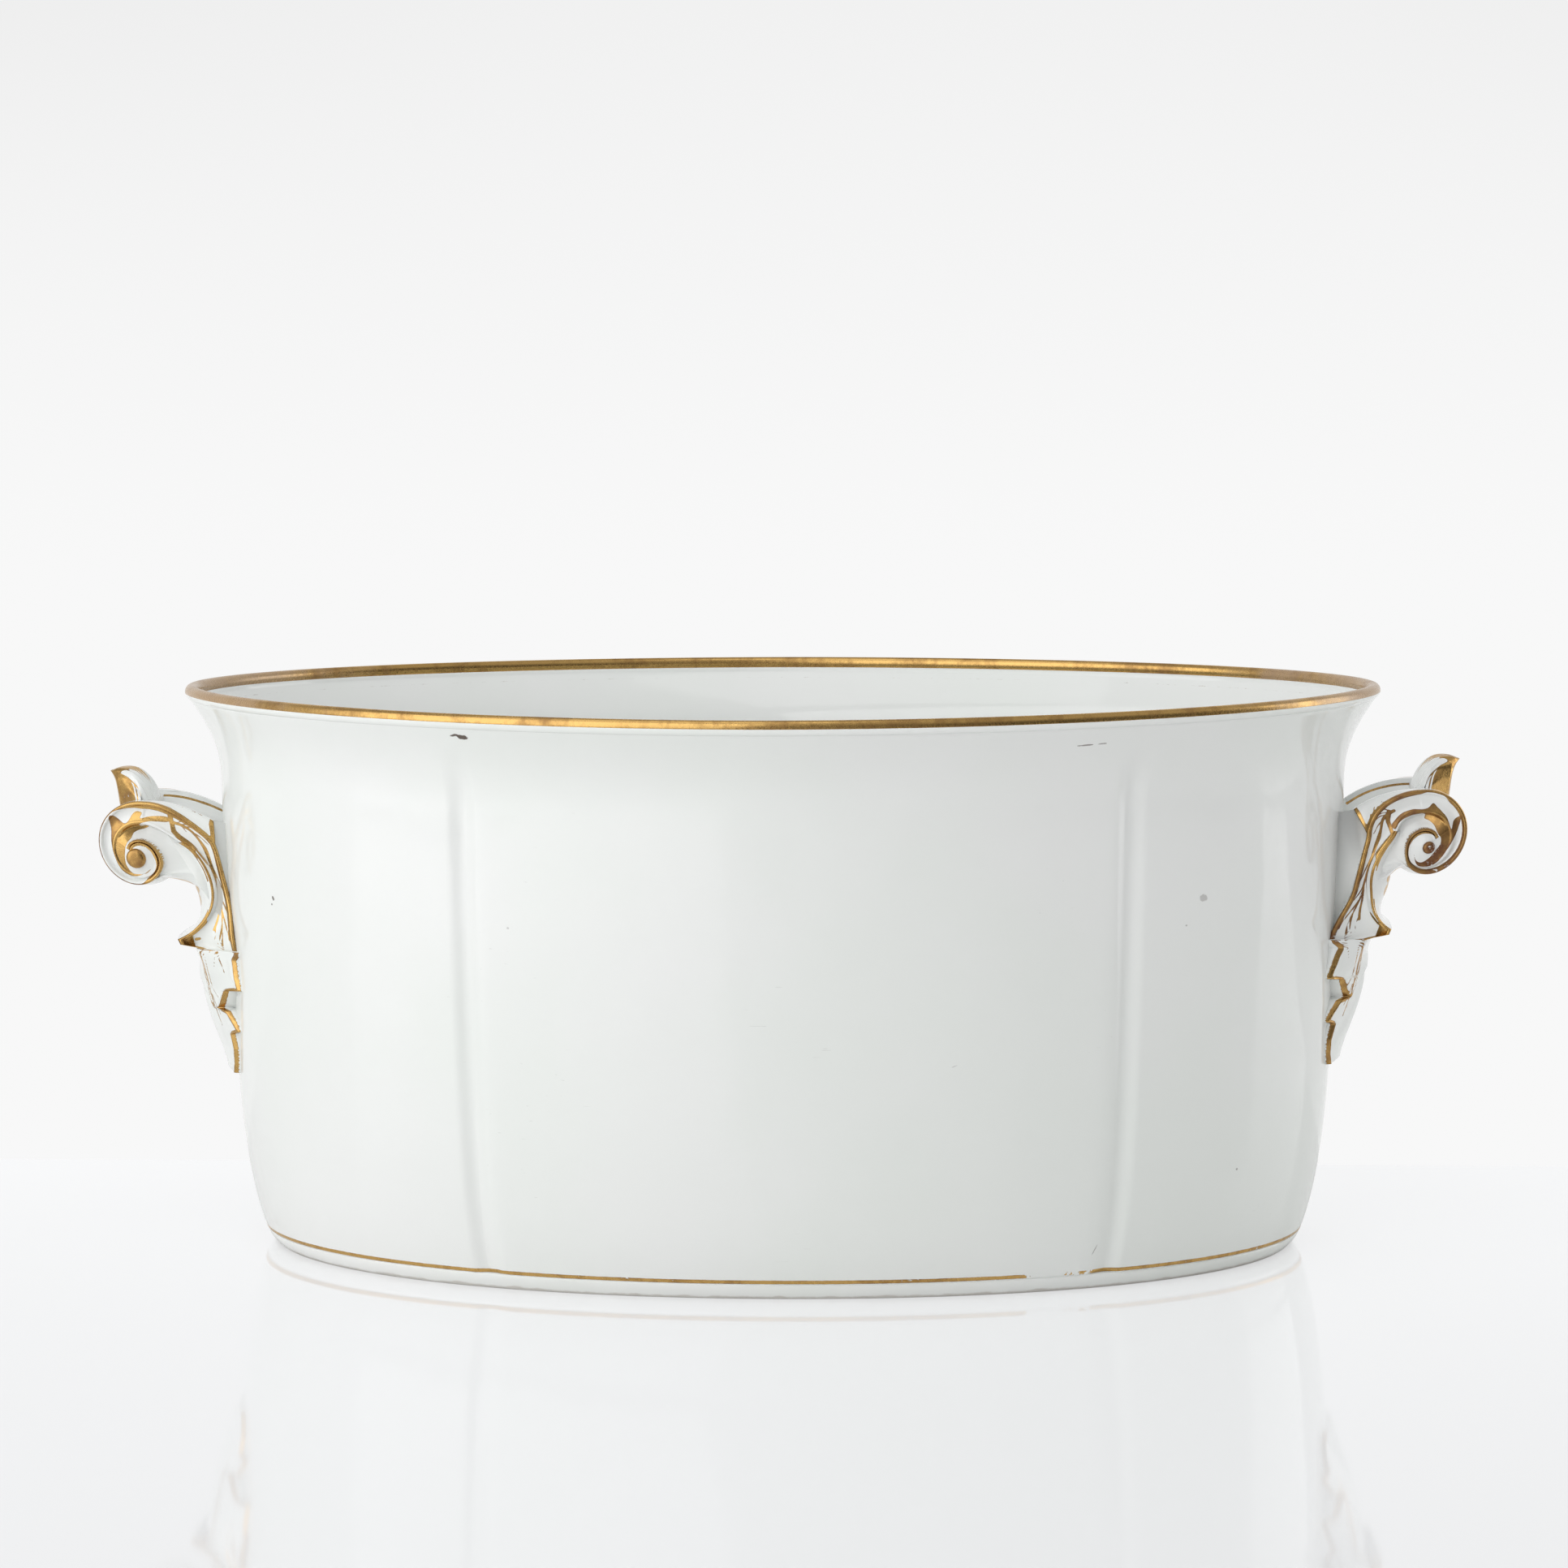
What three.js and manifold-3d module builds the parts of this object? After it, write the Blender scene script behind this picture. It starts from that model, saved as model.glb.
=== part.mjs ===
// Oval porcelain champagne cooler with a scroll handle at each end.
// Millimetres. X runs along the tub, Y across it, and Z up from the table it stands on.
import * as THREE from 'three';
import { mergeVertices } from 'three/addons/utils/BufferGeometryUtils.js';
import Module from 'manifold-3d';

const wasm = await Module();
wasm.setup();

// Tub
const RIM_LENGTH = 430;
const RIM_DEPTH = 260;
const BASE_LENGTH = 376.4;
const BASE_DEPTH = 206.4;
const HEIGHT = 202.5;
const WALL = 5.5;
const LIP = 4.2;
const FLOOR = 7;
const COVE = 9;
const FOOT_HEIGHT = 5.2;
const FOOT_WIDTH = 12;
const FOOT_TUCK = 3.6;
const FOOT_ARRIS = 0.7;
const BELLY_HEIGHT = 53;
const BELLY_SWELL = 9.3;
const NECK_DROP = 32.5;
const FLARE = 12.5;
const ROLL_RADIUS = 2.6;
const ROLL_SEAT = 0.4;
const RIM_SAG = 1.5;
const BASE_FULLNESS = 2.05;
const RIM_FULLNESS = 1.83;
const GROOVE_SPACING = 211;
const GROOVE_SHIFT = 8.8;
const GROOVE_WIDTH = 12;
const GROOVE_DEPTH = 1.8;
const GAP = 0.3;

// Scroll handles, measured from the eye of the volute: p outwards from the tub and q upwards
const EYE_OUT = 28.6;
const EYE_DROP = 59.1;
const HANDLE_OFFSET = 2.3;
const HANDLE_LEAN = 2.7;
const LEAN_TOP = 17;
const LEAN_SPAN = 15;
const HANDLE_WIDTH = 44;
const STRAP_WIDTH = 36;
const WEB_WIDTH = 33;
const VOLUTE_RADIUS = 18.1;
const VOLUTE_WIND = 0.33;
const VOLUTE_STRETCH = 1.19;
const VOLUTE_LEAN = 49;
const VOLUTE_START = 101;
const VOLUTE_TURNS = 430;
const POLE_OUT = -0.8;
const POLE_UP = 0.9;
const COIL_FOOT = 205;
const RIBBON_WIDTH = 7.6;
const RIBBON_TAIL = 2.6;
const RIBBON_START = -54;
const RIBBON_END = 234;
const EYE_RADIUS = 3.3;
const EYE_HEIGHT = 5.2;
const RIM_BAND = 1.7;
const RIM_RELIEF = 0.8;
const WEB_RELIEF = 3.4;
const STRAP_RISE = 13;
const STRAP_TUCK = 2;
const STRUT_HEIGHT = 8;
const CHANNEL_DEPTH = 5.5;
const THROAT_RISE = 5.6;
const THROAT_DIP = 5;
const STEM_WAIST = 22.8;
const STEM_LEAN = 2.7;
const STEM_BULGE = 9;
const STEM_SPLAY = 6;
const STEM_LENGTH = 33.5;
const SPUR_REACH = 12.7;
const SPUR_DROP = 29.5;
const SPUR_NOSE = 2;
const SPUR_BULGE = 1.4;
const GRIP_BULGE = 3.5;
const GRIP_SINK = 4.2;
const GRIP_RIM = 1.4;
const GRIP_TURNS = 272;

// Leaves
const THUMB_RISE = 8.9;
const THUMB_WIDTH = 27;
const THUMB_NECK = 19;
const THUMB_REACH = 13.7;
const THUMB_BACK = 4.4;
const THUMB_FRONT = 8.8;
const THUMB_CROWN = 6.8;
const THUMB_ROOT = 5;
const THUMB_FLUTE = 1.1;
const LOBE_REACH = 7.6;
const LOBE_DROP = 0.9;
const LOBE_SHARE = 0.75;
const LOBE_NOTCH = 0.5;
const LOBE_CUT = 0.24;
const LOBE_EDGE = 0.4;
const LEAF_LENGTH = 45;
const LEAF_WIDTH = 50;
const LEAF_CROWN = 10.6;
const LEAF_TIP = 3.4;
const LEAF_RIDGES = 18;
const LEAF_VALLEY = 3;
const LEAF_SHEAR = 2.5;
const LEAF_EDGE = 0.6;

// Facets: segments along the ends of the oval, across a groove and along its sides
const END_STEPS = 9;
const GROOVE_STEPS = 4;
const SIDE_STEPS = 5;
const QUARTER = END_STEPS + GROOVE_STEPS + SIDE_STEPS;
const VOLUTE_STEP = 22;
const LINE_STEPS = 6;
const STEM_STEPS = 8;
const GRIP_STEPS = 11;

const PORCELAIN = { color: 0xe9ecea, roughness: 0.15, metalness: 0 };
const GILDING = { color: 0xb5853a, roughness: 0.3, metalness: 0.9 };
const BISCUIT = { color: 0xd8d5cd, roughness: 0.8, metalness: 0 };

const { lerp, clamp, smoothstep, degToRad } = THREE.MathUtils;
const point = (p, q) => new THREE.Vector2(p, q);

// Solids

// A closed mesh with its shared vertices merged and its faces turned outwards
function solid(geometry) {
  const plain = geometry.clone();
  plain.deleteAttribute('normal');
  plain.deleteAttribute('uv');
  const merged = mergeVertices(plain, 1e-4);
  const place = merged.attributes.position;
  const corners = [0, 1, 2].map(() => new THREE.Vector3());
  const faces = [];
  let volume = 0;
  for (let i = 0; i < merged.index.count; i += 3) {
    const [a, b, c] = [0, 1, 2].map((k) => merged.index.getX(i + k));
    if (a === b || b === c || c === a) continue;
    [a, b, c].forEach((vertex, k) => corners[k].fromBufferAttribute(place, vertex));
    volume += corners[0].dot(corners[1].cross(corners[2]));
    faces.push([a, b, c]);
  }
  const triangles = faces.flatMap(([a, b, c]) => (volume < 0 ? [a, c, b] : [a, b, c]));
  return new wasm.Manifold(new wasm.Mesh({
    numProp: 3,
    vertProperties: Float32Array.from(place.array),
    triVerts: Uint32Array.from(triangles),
  }));
}

function meshOf(body, name, finish) {
  const { vertProperties, triVerts } = body.getMesh();
  const geometry = new THREE.BufferGeometry();
  geometry.setAttribute('position', new THREE.BufferAttribute(Float32Array.from(vertProperties), 3));
  geometry.setIndex(new THREE.BufferAttribute(Uint32Array.from(triVerts), 1));
  geometry.computeVertexNormals();
  const mesh = new THREE.Mesh(geometry, new THREE.MeshStandardMaterial(finish));
  mesh.name = name;
  return mesh;
}

// A body lofted through outlines in the p, q plane that have as many points each, at the given y
function loft(outlines, levels) {
  const count = outlines[0].length;
  const positions = outlines.flatMap((outline, ring) => outline.flatMap(({ x, y }) => [x, levels[ring], y]));
  const triangles = [];
  for (let ring = 0; ring < outlines.length - 1; ring += 1) {
    for (let i = 0; i < count; i += 1) {
      const a = ring * count + i;
      const b = ring * count + ((i + 1) % count);
      triangles.push(a, b, b + count, a, b + count, a + count);
    }
  }
  const last = (outlines.length - 1) * count;
  const lid = (outline) => THREE.ShapeUtils.triangulateShape(outline, []);
  const turned = THREE.ShapeUtils.isClockWise(outlines[0]);
  lid(outlines[0]).forEach(([a, b, c]) => triangles.push(...(turned ? [a, b, c] : [a, c, b])));
  lid(outlines.at(-1)).map((face) => face.map((i) => i + last))
    .forEach(([a, b, c]) => triangles.push(...(turned ? [a, c, b] : [a, b, c])));
  const geometry = new THREE.BufferGeometry();
  geometry.setAttribute('position', new THREE.Float32BufferAttribute(positions, 3));
  geometry.setIndex(triangles);
  return solid(geometry);
}

// A closed leaf: a box of columns and rows whose two faces are placed by the function
function leafBody(columns, rows, placeAt) {
  const geometry = new THREE.BoxGeometry(2, 2, 2, columns, rows, 1);
  const place = geometry.attributes.position;
  const corner = new THREE.Vector3();
  for (let i = 0; i < place.count; i += 1) {
    corner.fromBufferAttribute(place, i);
    const { x, y, z } = placeAt(corner.x, (1 - corner.y) / 2, corner.z > 0);
    place.setXYZ(i, x, y, z);
  }
  return solid(geometry);
}

// Tub wall: how far it has swelled out from the base line at a height

const FOOT_TOP = FOOT_HEIGHT + GAP;
const FLOOR_TOP = FOOT_TOP + FLOOR;
const BELLY_Z = FOOT_TOP + BELLY_HEIGHT;
const NECK_Z = HEIGHT - NECK_DROP;
const ROLL_Z = HEIGHT - ROLL_RADIUS;
const LIP_Z = ROLL_Z - ROLL_RADIUS + ROLL_SEAT - GAP;
const RIM_SWELL = (RIM_LENGTH - BASE_LENGTH) / 2;
const ACROSS = (RIM_DEPTH - BASE_DEPTH) / (RIM_LENGTH - BASE_LENGTH);
const NECK_SWELL = RIM_SWELL - FLARE;
const ROLL_SWELL = RIM_SWELL - ROLL_RADIUS;
const LIP_SWELL = ROLL_SWELL + LIP / 4;

function wallCurve(from, to, leave, arrive) {
  const lean = (share, out) => point(lerp(from.x, to.x, out), lerp(from.y, to.y, share));
  return new THREE.CubicBezierCurve(from, lean(...leave), lean(...arrive), to);
}

const footEdge = point(0, FOOT_TOP);
const belly = point(BELLY_SWELL, BELLY_Z);
const neck = point(NECK_SWELL, NECK_Z);
const lipEdge = point(LIP_SWELL, LIP_Z);
const wallCurves = [
  wallCurve(footEdge, belly, [0.25, 0.58], [0.68, 0.88]),
  wallCurve(belly, neck, [0.33, 0.54], [0.68, 0.82]),
  wallCurve(neck, lipEdge, [0.4, 0.05], [0.68, 0.44]),
];

function swellAt(z) {
  const curve = wallCurves.find(({ v3 }) => z <= v3.y) ?? wallCurves.at(-1);
  let low = 0;
  let high = 1;
  for (let halving = 0; halving < 30; halving += 1) {
    const middle = (low + high) / 2;
    if (curve.getPoint(middle).y < z) low = middle;
    else high = middle;
  }
  return curve.getPoint((low + high) / 2).x;
}

const WALL_LEVELS = [
  FOOT_TOP, FLOOR_TOP, FLOOR_TOP + COVE, lerp(FLOOR_TOP + COVE, BELLY_Z, 0.4), BELLY_Z,
  lerp(BELLY_Z, NECK_Z, 0.33), lerp(BELLY_Z, NECK_Z, 0.66), NECK_Z,
  ...[0.35, 0.58, 0.75, 0.9, 1].map((share) => lerp(NECK_Z, LIP_Z, share)),
];

const fullnessAt = (z) => lerp(BASE_FULLNESS, RIM_FULLNESS, z / HEIGHT);
const halfLengthAt = (z) => BASE_LENGTH / 2 + swellAt(z);

// Where the outside of the wall stands over a point y on the end of the tub
function wallReach(y, z) {
  const fullness = fullnessAt(z);
  const halfDepth = BASE_DEPTH / 2 + swellAt(z) * ACROSS;
  return halfLengthAt(z) * (1 - (Math.abs(y) / halfDepth) ** fullness) ** (1 / fullness);
}

// The angle of a station round the oval, closer together over each groove. The grooves taper with
// the tub and stand a little off its middle
function stationAngle(station, halfLength, fullness) {
  const quarter = Math.floor(station / QUARTER);
  const along = quarter % 2 ? QUARTER - (station % QUARTER) : station % QUARTER;
  const angleOver = (x) => Math.acos((x / halfLength) ** (fullness / 2));
  const acrossGroove = clamp((along - END_STEPS) / GROOVE_STEPS, 0, 1);
  const middle = GROOVE_SPACING / 2 + (quarter % 3 ? -GROOVE_SHIFT : GROOVE_SHIFT);
  const grooveX = middle * 2 * halfLength / BASE_LENGTH + GROOVE_WIDTH * (0.5 - acrossGroove);
  const grooveAngle = angleOver(grooveX);
  let angle = grooveAngle;
  if (along < END_STEPS) angle = grooveAngle * along / END_STEPS;
  if (along > END_STEPS + GROOVE_STEPS) {
    angle = lerp(grooveAngle, Math.PI / 2, (along - END_STEPS - GROOVE_STEPS) / SIDE_STEPS);
  }
  const cut = (1 - Math.cos(2 * Math.PI * acrossGroove)) / 2;
  return { angle: quarter % 2 ? (quarter + 1) * Math.PI / 2 - angle : quarter * Math.PI / 2 + angle, cut };
}

// One point of an oval section: swell from the base line, inset from the outside, and share of
// the way out from the middle
function ovalPoint(station, { z, swell, inset = 0, core = 1, grooved = false }) {
  const fullness = fullnessAt(z);
  const outside = BASE_LENGTH / 2 + swell;
  const { angle, cut } = stationAngle(station, outside, fullness);
  const halfLength = (outside - inset) * core;
  const halfDepth = (BASE_DEPTH / 2 + swell * ACROSS - inset) * core;
  const c = Math.cos(angle);
  const s = Math.sin(angle);
  const place = new THREE.Vector3(
    halfLength * Math.sign(c) * Math.abs(c) ** (2 / fullness),
    halfDepth * Math.sign(s) * Math.abs(s) ** (2 / fullness),
    z,
  );
  if (grooved) {
    const fade = 1 - smoothstep(z, NECK_Z, lerp(NECK_Z, LIP_Z, 0.75));
    const inward = new THREE.Vector3(c / halfLength, s / halfDepth, 0).normalize();
    place.addScaledVector(inward, -GROOVE_DEPTH * cut * fade);
  }
  const sag = smoothstep(z, NECK_Z, LIP_Z) * (1 - (place.x / outside) ** 2);
  place.z -= RIM_SAG * sag;
  return place;
}

// A ring or bowl swept round the oval from a profile that closes on itself
function ovalBody(profile) {
  const closed = [...profile, profile[0]];
  const stations = 4 * QUARTER;
  const geometry = new THREE.LatheGeometry(closed.map((_, i) => point(i + 1, i)), stations);
  const place = geometry.attributes.position;
  for (let i = 0; i < place.count; i += 1) {
    const station = Math.floor(i / closed.length) % stations;
    const { x, y, z } = ovalPoint(station, closed[i % closed.length]);
    place.setXYZ(i, x, y, z);
  }
  return solid(geometry);
}

function tubWall() {
  const outside = WALL_LEVELS.map((z) => ({ z, swell: swellAt(z), grooved: true }));
  const inside = WALL_LEVELS.map((z) => {
    const thin = smoothstep(z, NECK_Z, LIP_Z);
    return { z, swell: swellAt(z), inset: lerp(WALL, LIP, thin) };
  });
  return ovalBody([...outside, ...inside.reverse()]);
}

// The floor fits inside the wall and turns up it in a cove
function tubFloor() {
  const edge = (z) => ({ z, swell: swellAt(z), inset: WALL + GAP });
  const cove = [0, 1, 2, 3].map((step) => {
    const angle = step / 3 * Math.PI / 2;
    const z = FLOOR_TOP + COVE * (1 - Math.sin(angle));
    return { z, swell: swellAt(z), inset: WALL + GAP + 0.5 + COVE * (1 - Math.cos(angle)) };
  });
  const middle = (z) => ({ z, swell: 0, core: 0 });
  const half = (z) => ({ z, swell: 0, inset: WALL, core: 0.55 });
  return ovalBody([
    edge(FOOT_TOP), edge(FLOOR_TOP), edge(FLOOR_TOP + COVE),
    ...cove, half(FLOOR_TOP), middle(FLOOR_TOP), middle(FOOT_TOP), half(FOOT_TOP),
  ]);
}

function footRing() {
  const at = (z, inset) => ({ z, swell: 0, inset });
  return ovalBody([
    at(0, FOOT_TUCK + FOOT_ARRIS), at(FOOT_ARRIS, FOOT_TUCK), at(FOOT_HEIGHT * 0.6, FOOT_TUCK * 0.3),
    at(FOOT_HEIGHT, 0), at(FOOT_HEIGHT, FOOT_WIDTH), at(0, FOOT_WIDTH - 2 * FOOT_ARRIS),
  ]);
}

// A round roll, flat below where it sits on the lip
function rimRoll() {
  const seat = Math.asin((ROLL_RADIUS - ROLL_SEAT) / ROLL_RADIUS);
  const profile = [];
  for (let step = 0; step <= 8; step += 1) {
    const angle = lerp(-seat, Math.PI + seat, step / 8);
    const inset = -ROLL_RADIUS * Math.cos(angle);
    profile.push({ z: ROLL_Z + ROLL_RADIUS * Math.sin(angle), swell: ROLL_SWELL, inset });
  }
  return ovalBody(profile);
}

// Everything inside the outer face of the wall, grown by the gap that the handles keep to it
function wallCutter() {
  const levels = WALL_LEVELS.filter((z) => z <= NECK_Z);
  const skin = levels.map((z) => ({ z, swell: swellAt(z), inset: -GAP }));
  const low = { ...skin[0], core: 0 };
  const high = { ...skin.at(-1), core: 0 };
  return ovalBody([low, ...skin, high]);
}

// Scroll outlines in the p, q plane

// A log spiral stretched along a leaning axis, by the degrees it has wound inwards from the crest
function voluteAt(wound, inset = 0) {
  const radius = VOLUTE_RADIUS * Math.exp(-VOLUTE_WIND * wound / 100) - inset;
  const lean = degToRad(VOLUTE_LEAN);
  const spoke = point(radius, 0).rotateAround(point(0, 0), degToRad(VOLUTE_START - wound) - lean);
  spoke.x *= VOLUTE_STRETCH;
  return spoke.rotateAround(point(0, 0), lean).add(point(POLE_OUT, POLE_UP));
}

// The ribbon of the scroll is widest at the crest and thins out as it winds
const ribbonInset = (wound) => lerp(RIBBON_WIDTH, RIBBON_TAIL, wound / RIBBON_END);

function voluteArc(from, to, insetAt = () => 0) {
  const steps = Math.round(Math.abs(to - from) / VOLUTE_STEP);
  return Array.from({ length: steps + 1 }, (_, i) => {
    const wound = lerp(from, to, i / steps);
    return voluteAt(wound, insetAt(wound));
  });
}

const HALF_WIDTH = HANDLE_WIDTH / 2;
const HALF_STRAP = STRAP_WIDTH / 2;
const HALF_WEB = WEB_WIDTH / 2;
const voluteTop = voluteAt(0);
const coil = voluteAt(COIL_FOOT);
const throat = voluteAt(RIBBON_START, ribbonInset(RIBBON_START));
const strutTop = point(STRAP_TUCK - EYE_OUT, STRAP_RISE);
const join = point(strutTop.x + RIM_BAND, STRAP_RISE - STRUT_HEIGHT);
const stemFoot = point(-EYE_OUT - STEM_SPLAY, -STEM_LENGTH);
const stemEnd = point(stemFoot.x + LEAF_CROWN + STRAP_TUCK, stemFoot.y);
const spurTip = point(-SPUR_REACH, -SPUR_DROP);
const spurUnder = [
  point(spurTip.x - SPUR_NOSE * 0.75, spurTip.y - SPUR_NOSE),
  point((spurTip.x + stemEnd.x) / 2 - SPUR_NOSE, spurTip.y - SPUR_NOSE * 1.2),
];

// An outline whose stem is pushed out by a lean, fading out towards the volute, the crest and the foot
const leant = (outline, lean) => outline.map(({ x, y }) => {
  const above = smoothstep(y, STRAP_TUCK - STEM_LENGTH, -LEAN_SPAN);
  const below = 1 - smoothstep(y, LEAN_TOP - LEAN_SPAN, LEAN_TOP);
  const inside = 1 - smoothstep(x, -LEAN_TOP, -LEAN_TOP / 3);
  return point(x + lean * above * below * inside, y);
});

const along = (curve, steps, from = 0) => curve.getPoints(steps).slice(from);

// The crest of the strap's lip, and the gold line below it that turns into the stem
const crestLine = new THREE.QuadraticBezierCurve(
  strutTop, point((strutTop.x + voluteTop.x) / 2, voluteTop.y), voluteTop,
);
const goldLine = new THREE.CubicBezierCurve(
  join, point(join.x + 2.2, join.y + STRUT_HEIGHT * 0.75), point(voluteTop.x - 10, voluteTop.y - 0.2),
  voluteTop,
);
const stemInner = new THREE.CubicBezierCurve(
  stemFoot, point(stemFoot.x + 4.7, stemFoot.y * 0.48), point(join.x - 2.6, join.y - 10), join,
);

// The stem's outer edge passes through its waist half way down
const waistPull = -(STEM_WAIST + (throat.x + spurTip.x) / 8) / 0.75;
const quarterDrop = (throat.y - spurTip.y) / 4;
const stemOuter = new THREE.CubicBezierCurve(
  throat, point(waistPull + STEM_LEAN, throat.y - quarterDrop),
  point(waistPull - STEM_LEAN, spurTip.y + quarterDrop), spurTip,
);

// How far the outer face of the stem stands out between its two gold edges
const bulgeAt = (y) => 1 - (y / HALF_WIDTH) ** 2;
const stemFace = (y, from) => along(stemOuter, STEM_STEPS, from).map((spot, i) => {
  const down = (i + from) / STEM_STEPS;
  const fullest = lerp(STEM_BULGE, SPUR_BULGE, smoothstep(down, 0.45, 1));
  return point(spot.x + fullest * bulgeAt(y), spot.y);
});

// The arch under the web that fills the throat, lower in the middle of the handle
function throatArch(y) {
  const foot = stemFace(y, STEM_STEPS / 2)[0];
  const rise = THROAT_RISE - THROAT_DIP * bulgeAt(y);
  const top = point((coil.x + foot.x) / 2, (coil.y + foot.y) / 2 + 2 * rise);
  return along(new THREE.QuadraticBezierCurve(coil, top, foot), 5, 1).slice(0, -1);
}

// The bolster between the two volutes, fuller underneath where the fingers hook it
function gripRoll(grow = 0) {
  const levels = [-1, -0.5, 0, 0.5, 1].map((share) => share * (HALF_WEB + (grow ? 1 : 0)));
  const outline = (y) => {
    const arc = Array.from({ length: GRIP_STEPS + 1 }, (_, i) => {
      const wound = lerp(0, GRIP_TURNS, i / GRIP_STEPS);
      const inset = lerp(GRIP_SINK, GRIP_RIM, smoothstep(wound, 20, 110)) - grow;
      const full = GRIP_BULGE * bulgeAt(y) * smoothstep(wound, 90, 190);
      return voluteAt(wound, inset - full);
    });
    const back = point(arc.at(-1).x - grow, arc.at(-1).y + 1);
    return [...arc, back, point(arc[0].x - 1.5 - grow, arc[0].y)];
  };
  return loft(levels.map(outline), levels);
}

// Strap floor, web and stem in one body between the two scroll cheeks
function bracket(lean) {
  const levels = [-1, -0.5, 0, 0.5, 1].map((share) => share * HALF_WEB);
  const buried = -EYE_OUT - 14;
  const outline = (y) => {
    const dip = lerp(CHANNEL_DEPTH, CHANNEL_DEPTH * 0.55, (y / HALF_WEB) ** 2);
    const floor = along(crestLine, LINE_STEPS).map((spot) => point(spot.x, spot.y - dip));
    return [
      point(buried, floor[0].y - 2.5), point(-EYE_OUT - 1, floor[0].y - 1.6), ...floor,
      point(voluteTop.x, 0), coil.clone(), ...throatArch(y), ...stemFace(y, STEM_STEPS / 2),
      ...spurUnder.map((spot) => spot.clone()), stemEnd.clone(), point(buried, stemEnd.y),
    ];
  };
  return loft(levels.map((y) => leant(outline(y), lean)), levels).subtract(gripRoll(GAP));
}

// A closed strip of the given width on the right-hand side of a path
function strip(path, width) {
  const inner = path.map((spot, i) => {
    const before = path[Math.max(i - 1, 0)];
    const after = path[Math.min(i + 1, path.length - 1)];
    const heading = after.clone().sub(before).normalize();
    return point(spot.x + heading.y * width, spot.y - heading.x * width);
  });
  return [...path, ...inner.reverse()];
}

const prism = (outline, low, high) => loft([outline, outline], [low, high]);

// One cheek: a deep web, the ribbon of the scroll standing on it, and the ribbon's raised rims
function scrollCheek(lean) {
  const web = HALF_WIDTH - WEB_RELIEF;
  const root = web - 0.2;
  const ribbonFace = HALF_WIDTH - RIM_RELIEF;
  const blend = (y) => clamp((y - HALF_STRAP) / (HALF_WIDTH - HALF_STRAP), 0, 1);
  const crest = along(crestLine, LINE_STEPS);
  const gold = along(goldLine, LINE_STEPS);
  const brow = (y) => crest.map((spot, i) => spot.clone().lerp(gold[i], blend(y)));
  const foot = (y) => [...stemFace(y, 1), ...spurUnder, stemEnd, ...along(stemInner, 5).slice(0, -1)];
  const plate = (y) => [
    ...brow(y), ...voluteArc(VOLUTE_STEP, COIL_FOOT), ...throatArch(y), ...foot(y).slice(STEM_STEPS / 2 - 1),
  ];
  const ribbon = (y) => [
    ...brow(y), ...voluteArc(VOLUTE_STEP, RIBBON_END),
    ...voluteArc(RIBBON_END, RIBBON_START, ribbonInset), ...foot(y),
  ];
  const outerRim = [
    ...along(stemInner, LINE_STEPS).slice(0, -1), ...along(goldLine, LINE_STEPS).slice(0, -1),
    ...voluteArc(0, VOLUTE_TURNS),
  ];
  const innerRim = [
    ...voluteArc(RIBBON_END, RIBBON_START, ribbonInset), ...along(stemOuter, STEM_STEPS, 1),
  ];
  const raised = (path, width) => {
    const outline = strip(path, width).map((spot) => point(spot.x, Math.max(spot.y, stemEnd.y)));
    return prism(leant(outline, lean), root, HALF_WIDTH);
  };
  const plateLevels = [HALF_WEB + GAP, HALF_STRAP, web];
  const ribbonLevels = [root, ribbonFace];
  return loft(plateLevels.map((y) => leant(plate(y), lean)), plateLevels)
    .add(loft(ribbonLevels.map((y) => leant(ribbon(y), lean)), ribbonLevels))
    .add(raised(outerRim, RIM_BAND))
    .add(raised(innerRim, -RIM_BAND * 0.8))
    .add(eyeBoss(root));
}

// The snail-like knob in the middle of a volute
function eyeBoss(low) {
  const profile = [point(0, 0), point(EYE_RADIUS, 0), point(EYE_RADIUS, EYE_HEIGHT * 0.4),
    point(EYE_RADIUS * 0.8, EYE_HEIGHT * 0.8), point(EYE_RADIUS * 0.4, EYE_HEIGHT), point(0, EYE_HEIGHT)];
  const knob = new THREE.LatheGeometry(profile, 12);
  knob.translate(0, low, 0);
  return solid(knob);
}

// How far up its curves the thumb leaf reaches at a share of its half width: a notch between
// the middle lobe and the lobe on each side
function lobeAt(share) {
  const [middle, span] = share < LOBE_NOTCH ? [0, LOBE_NOTCH] : [LOBE_SHARE, LOBE_SHARE - LOBE_NOTCH];
  return 1 - LOBE_CUT * (1 - Math.sqrt(Math.max(0, 1 - ((share - middle) / span) ** 2)));
}

// A point at a share of the leaf's half width, bowed between its middle, side lobe and edge
function bowed(middle, lobe, edge, share) {
  const squares = [share ** 2, LOBE_SHARE ** 2];
  const bend = (m, l, e) => {
    const low = (l - m - squares[1] ** 2 * (e - m)) / (squares[1] - squares[1] ** 2);
    return m + low * squares[0] + (e - m - low) * squares[0] ** 2;
  };
  return point(bend(middle.x, lobe.x, edge.x), bend(middle.y, lobe.y, edge.y));
}

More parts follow.
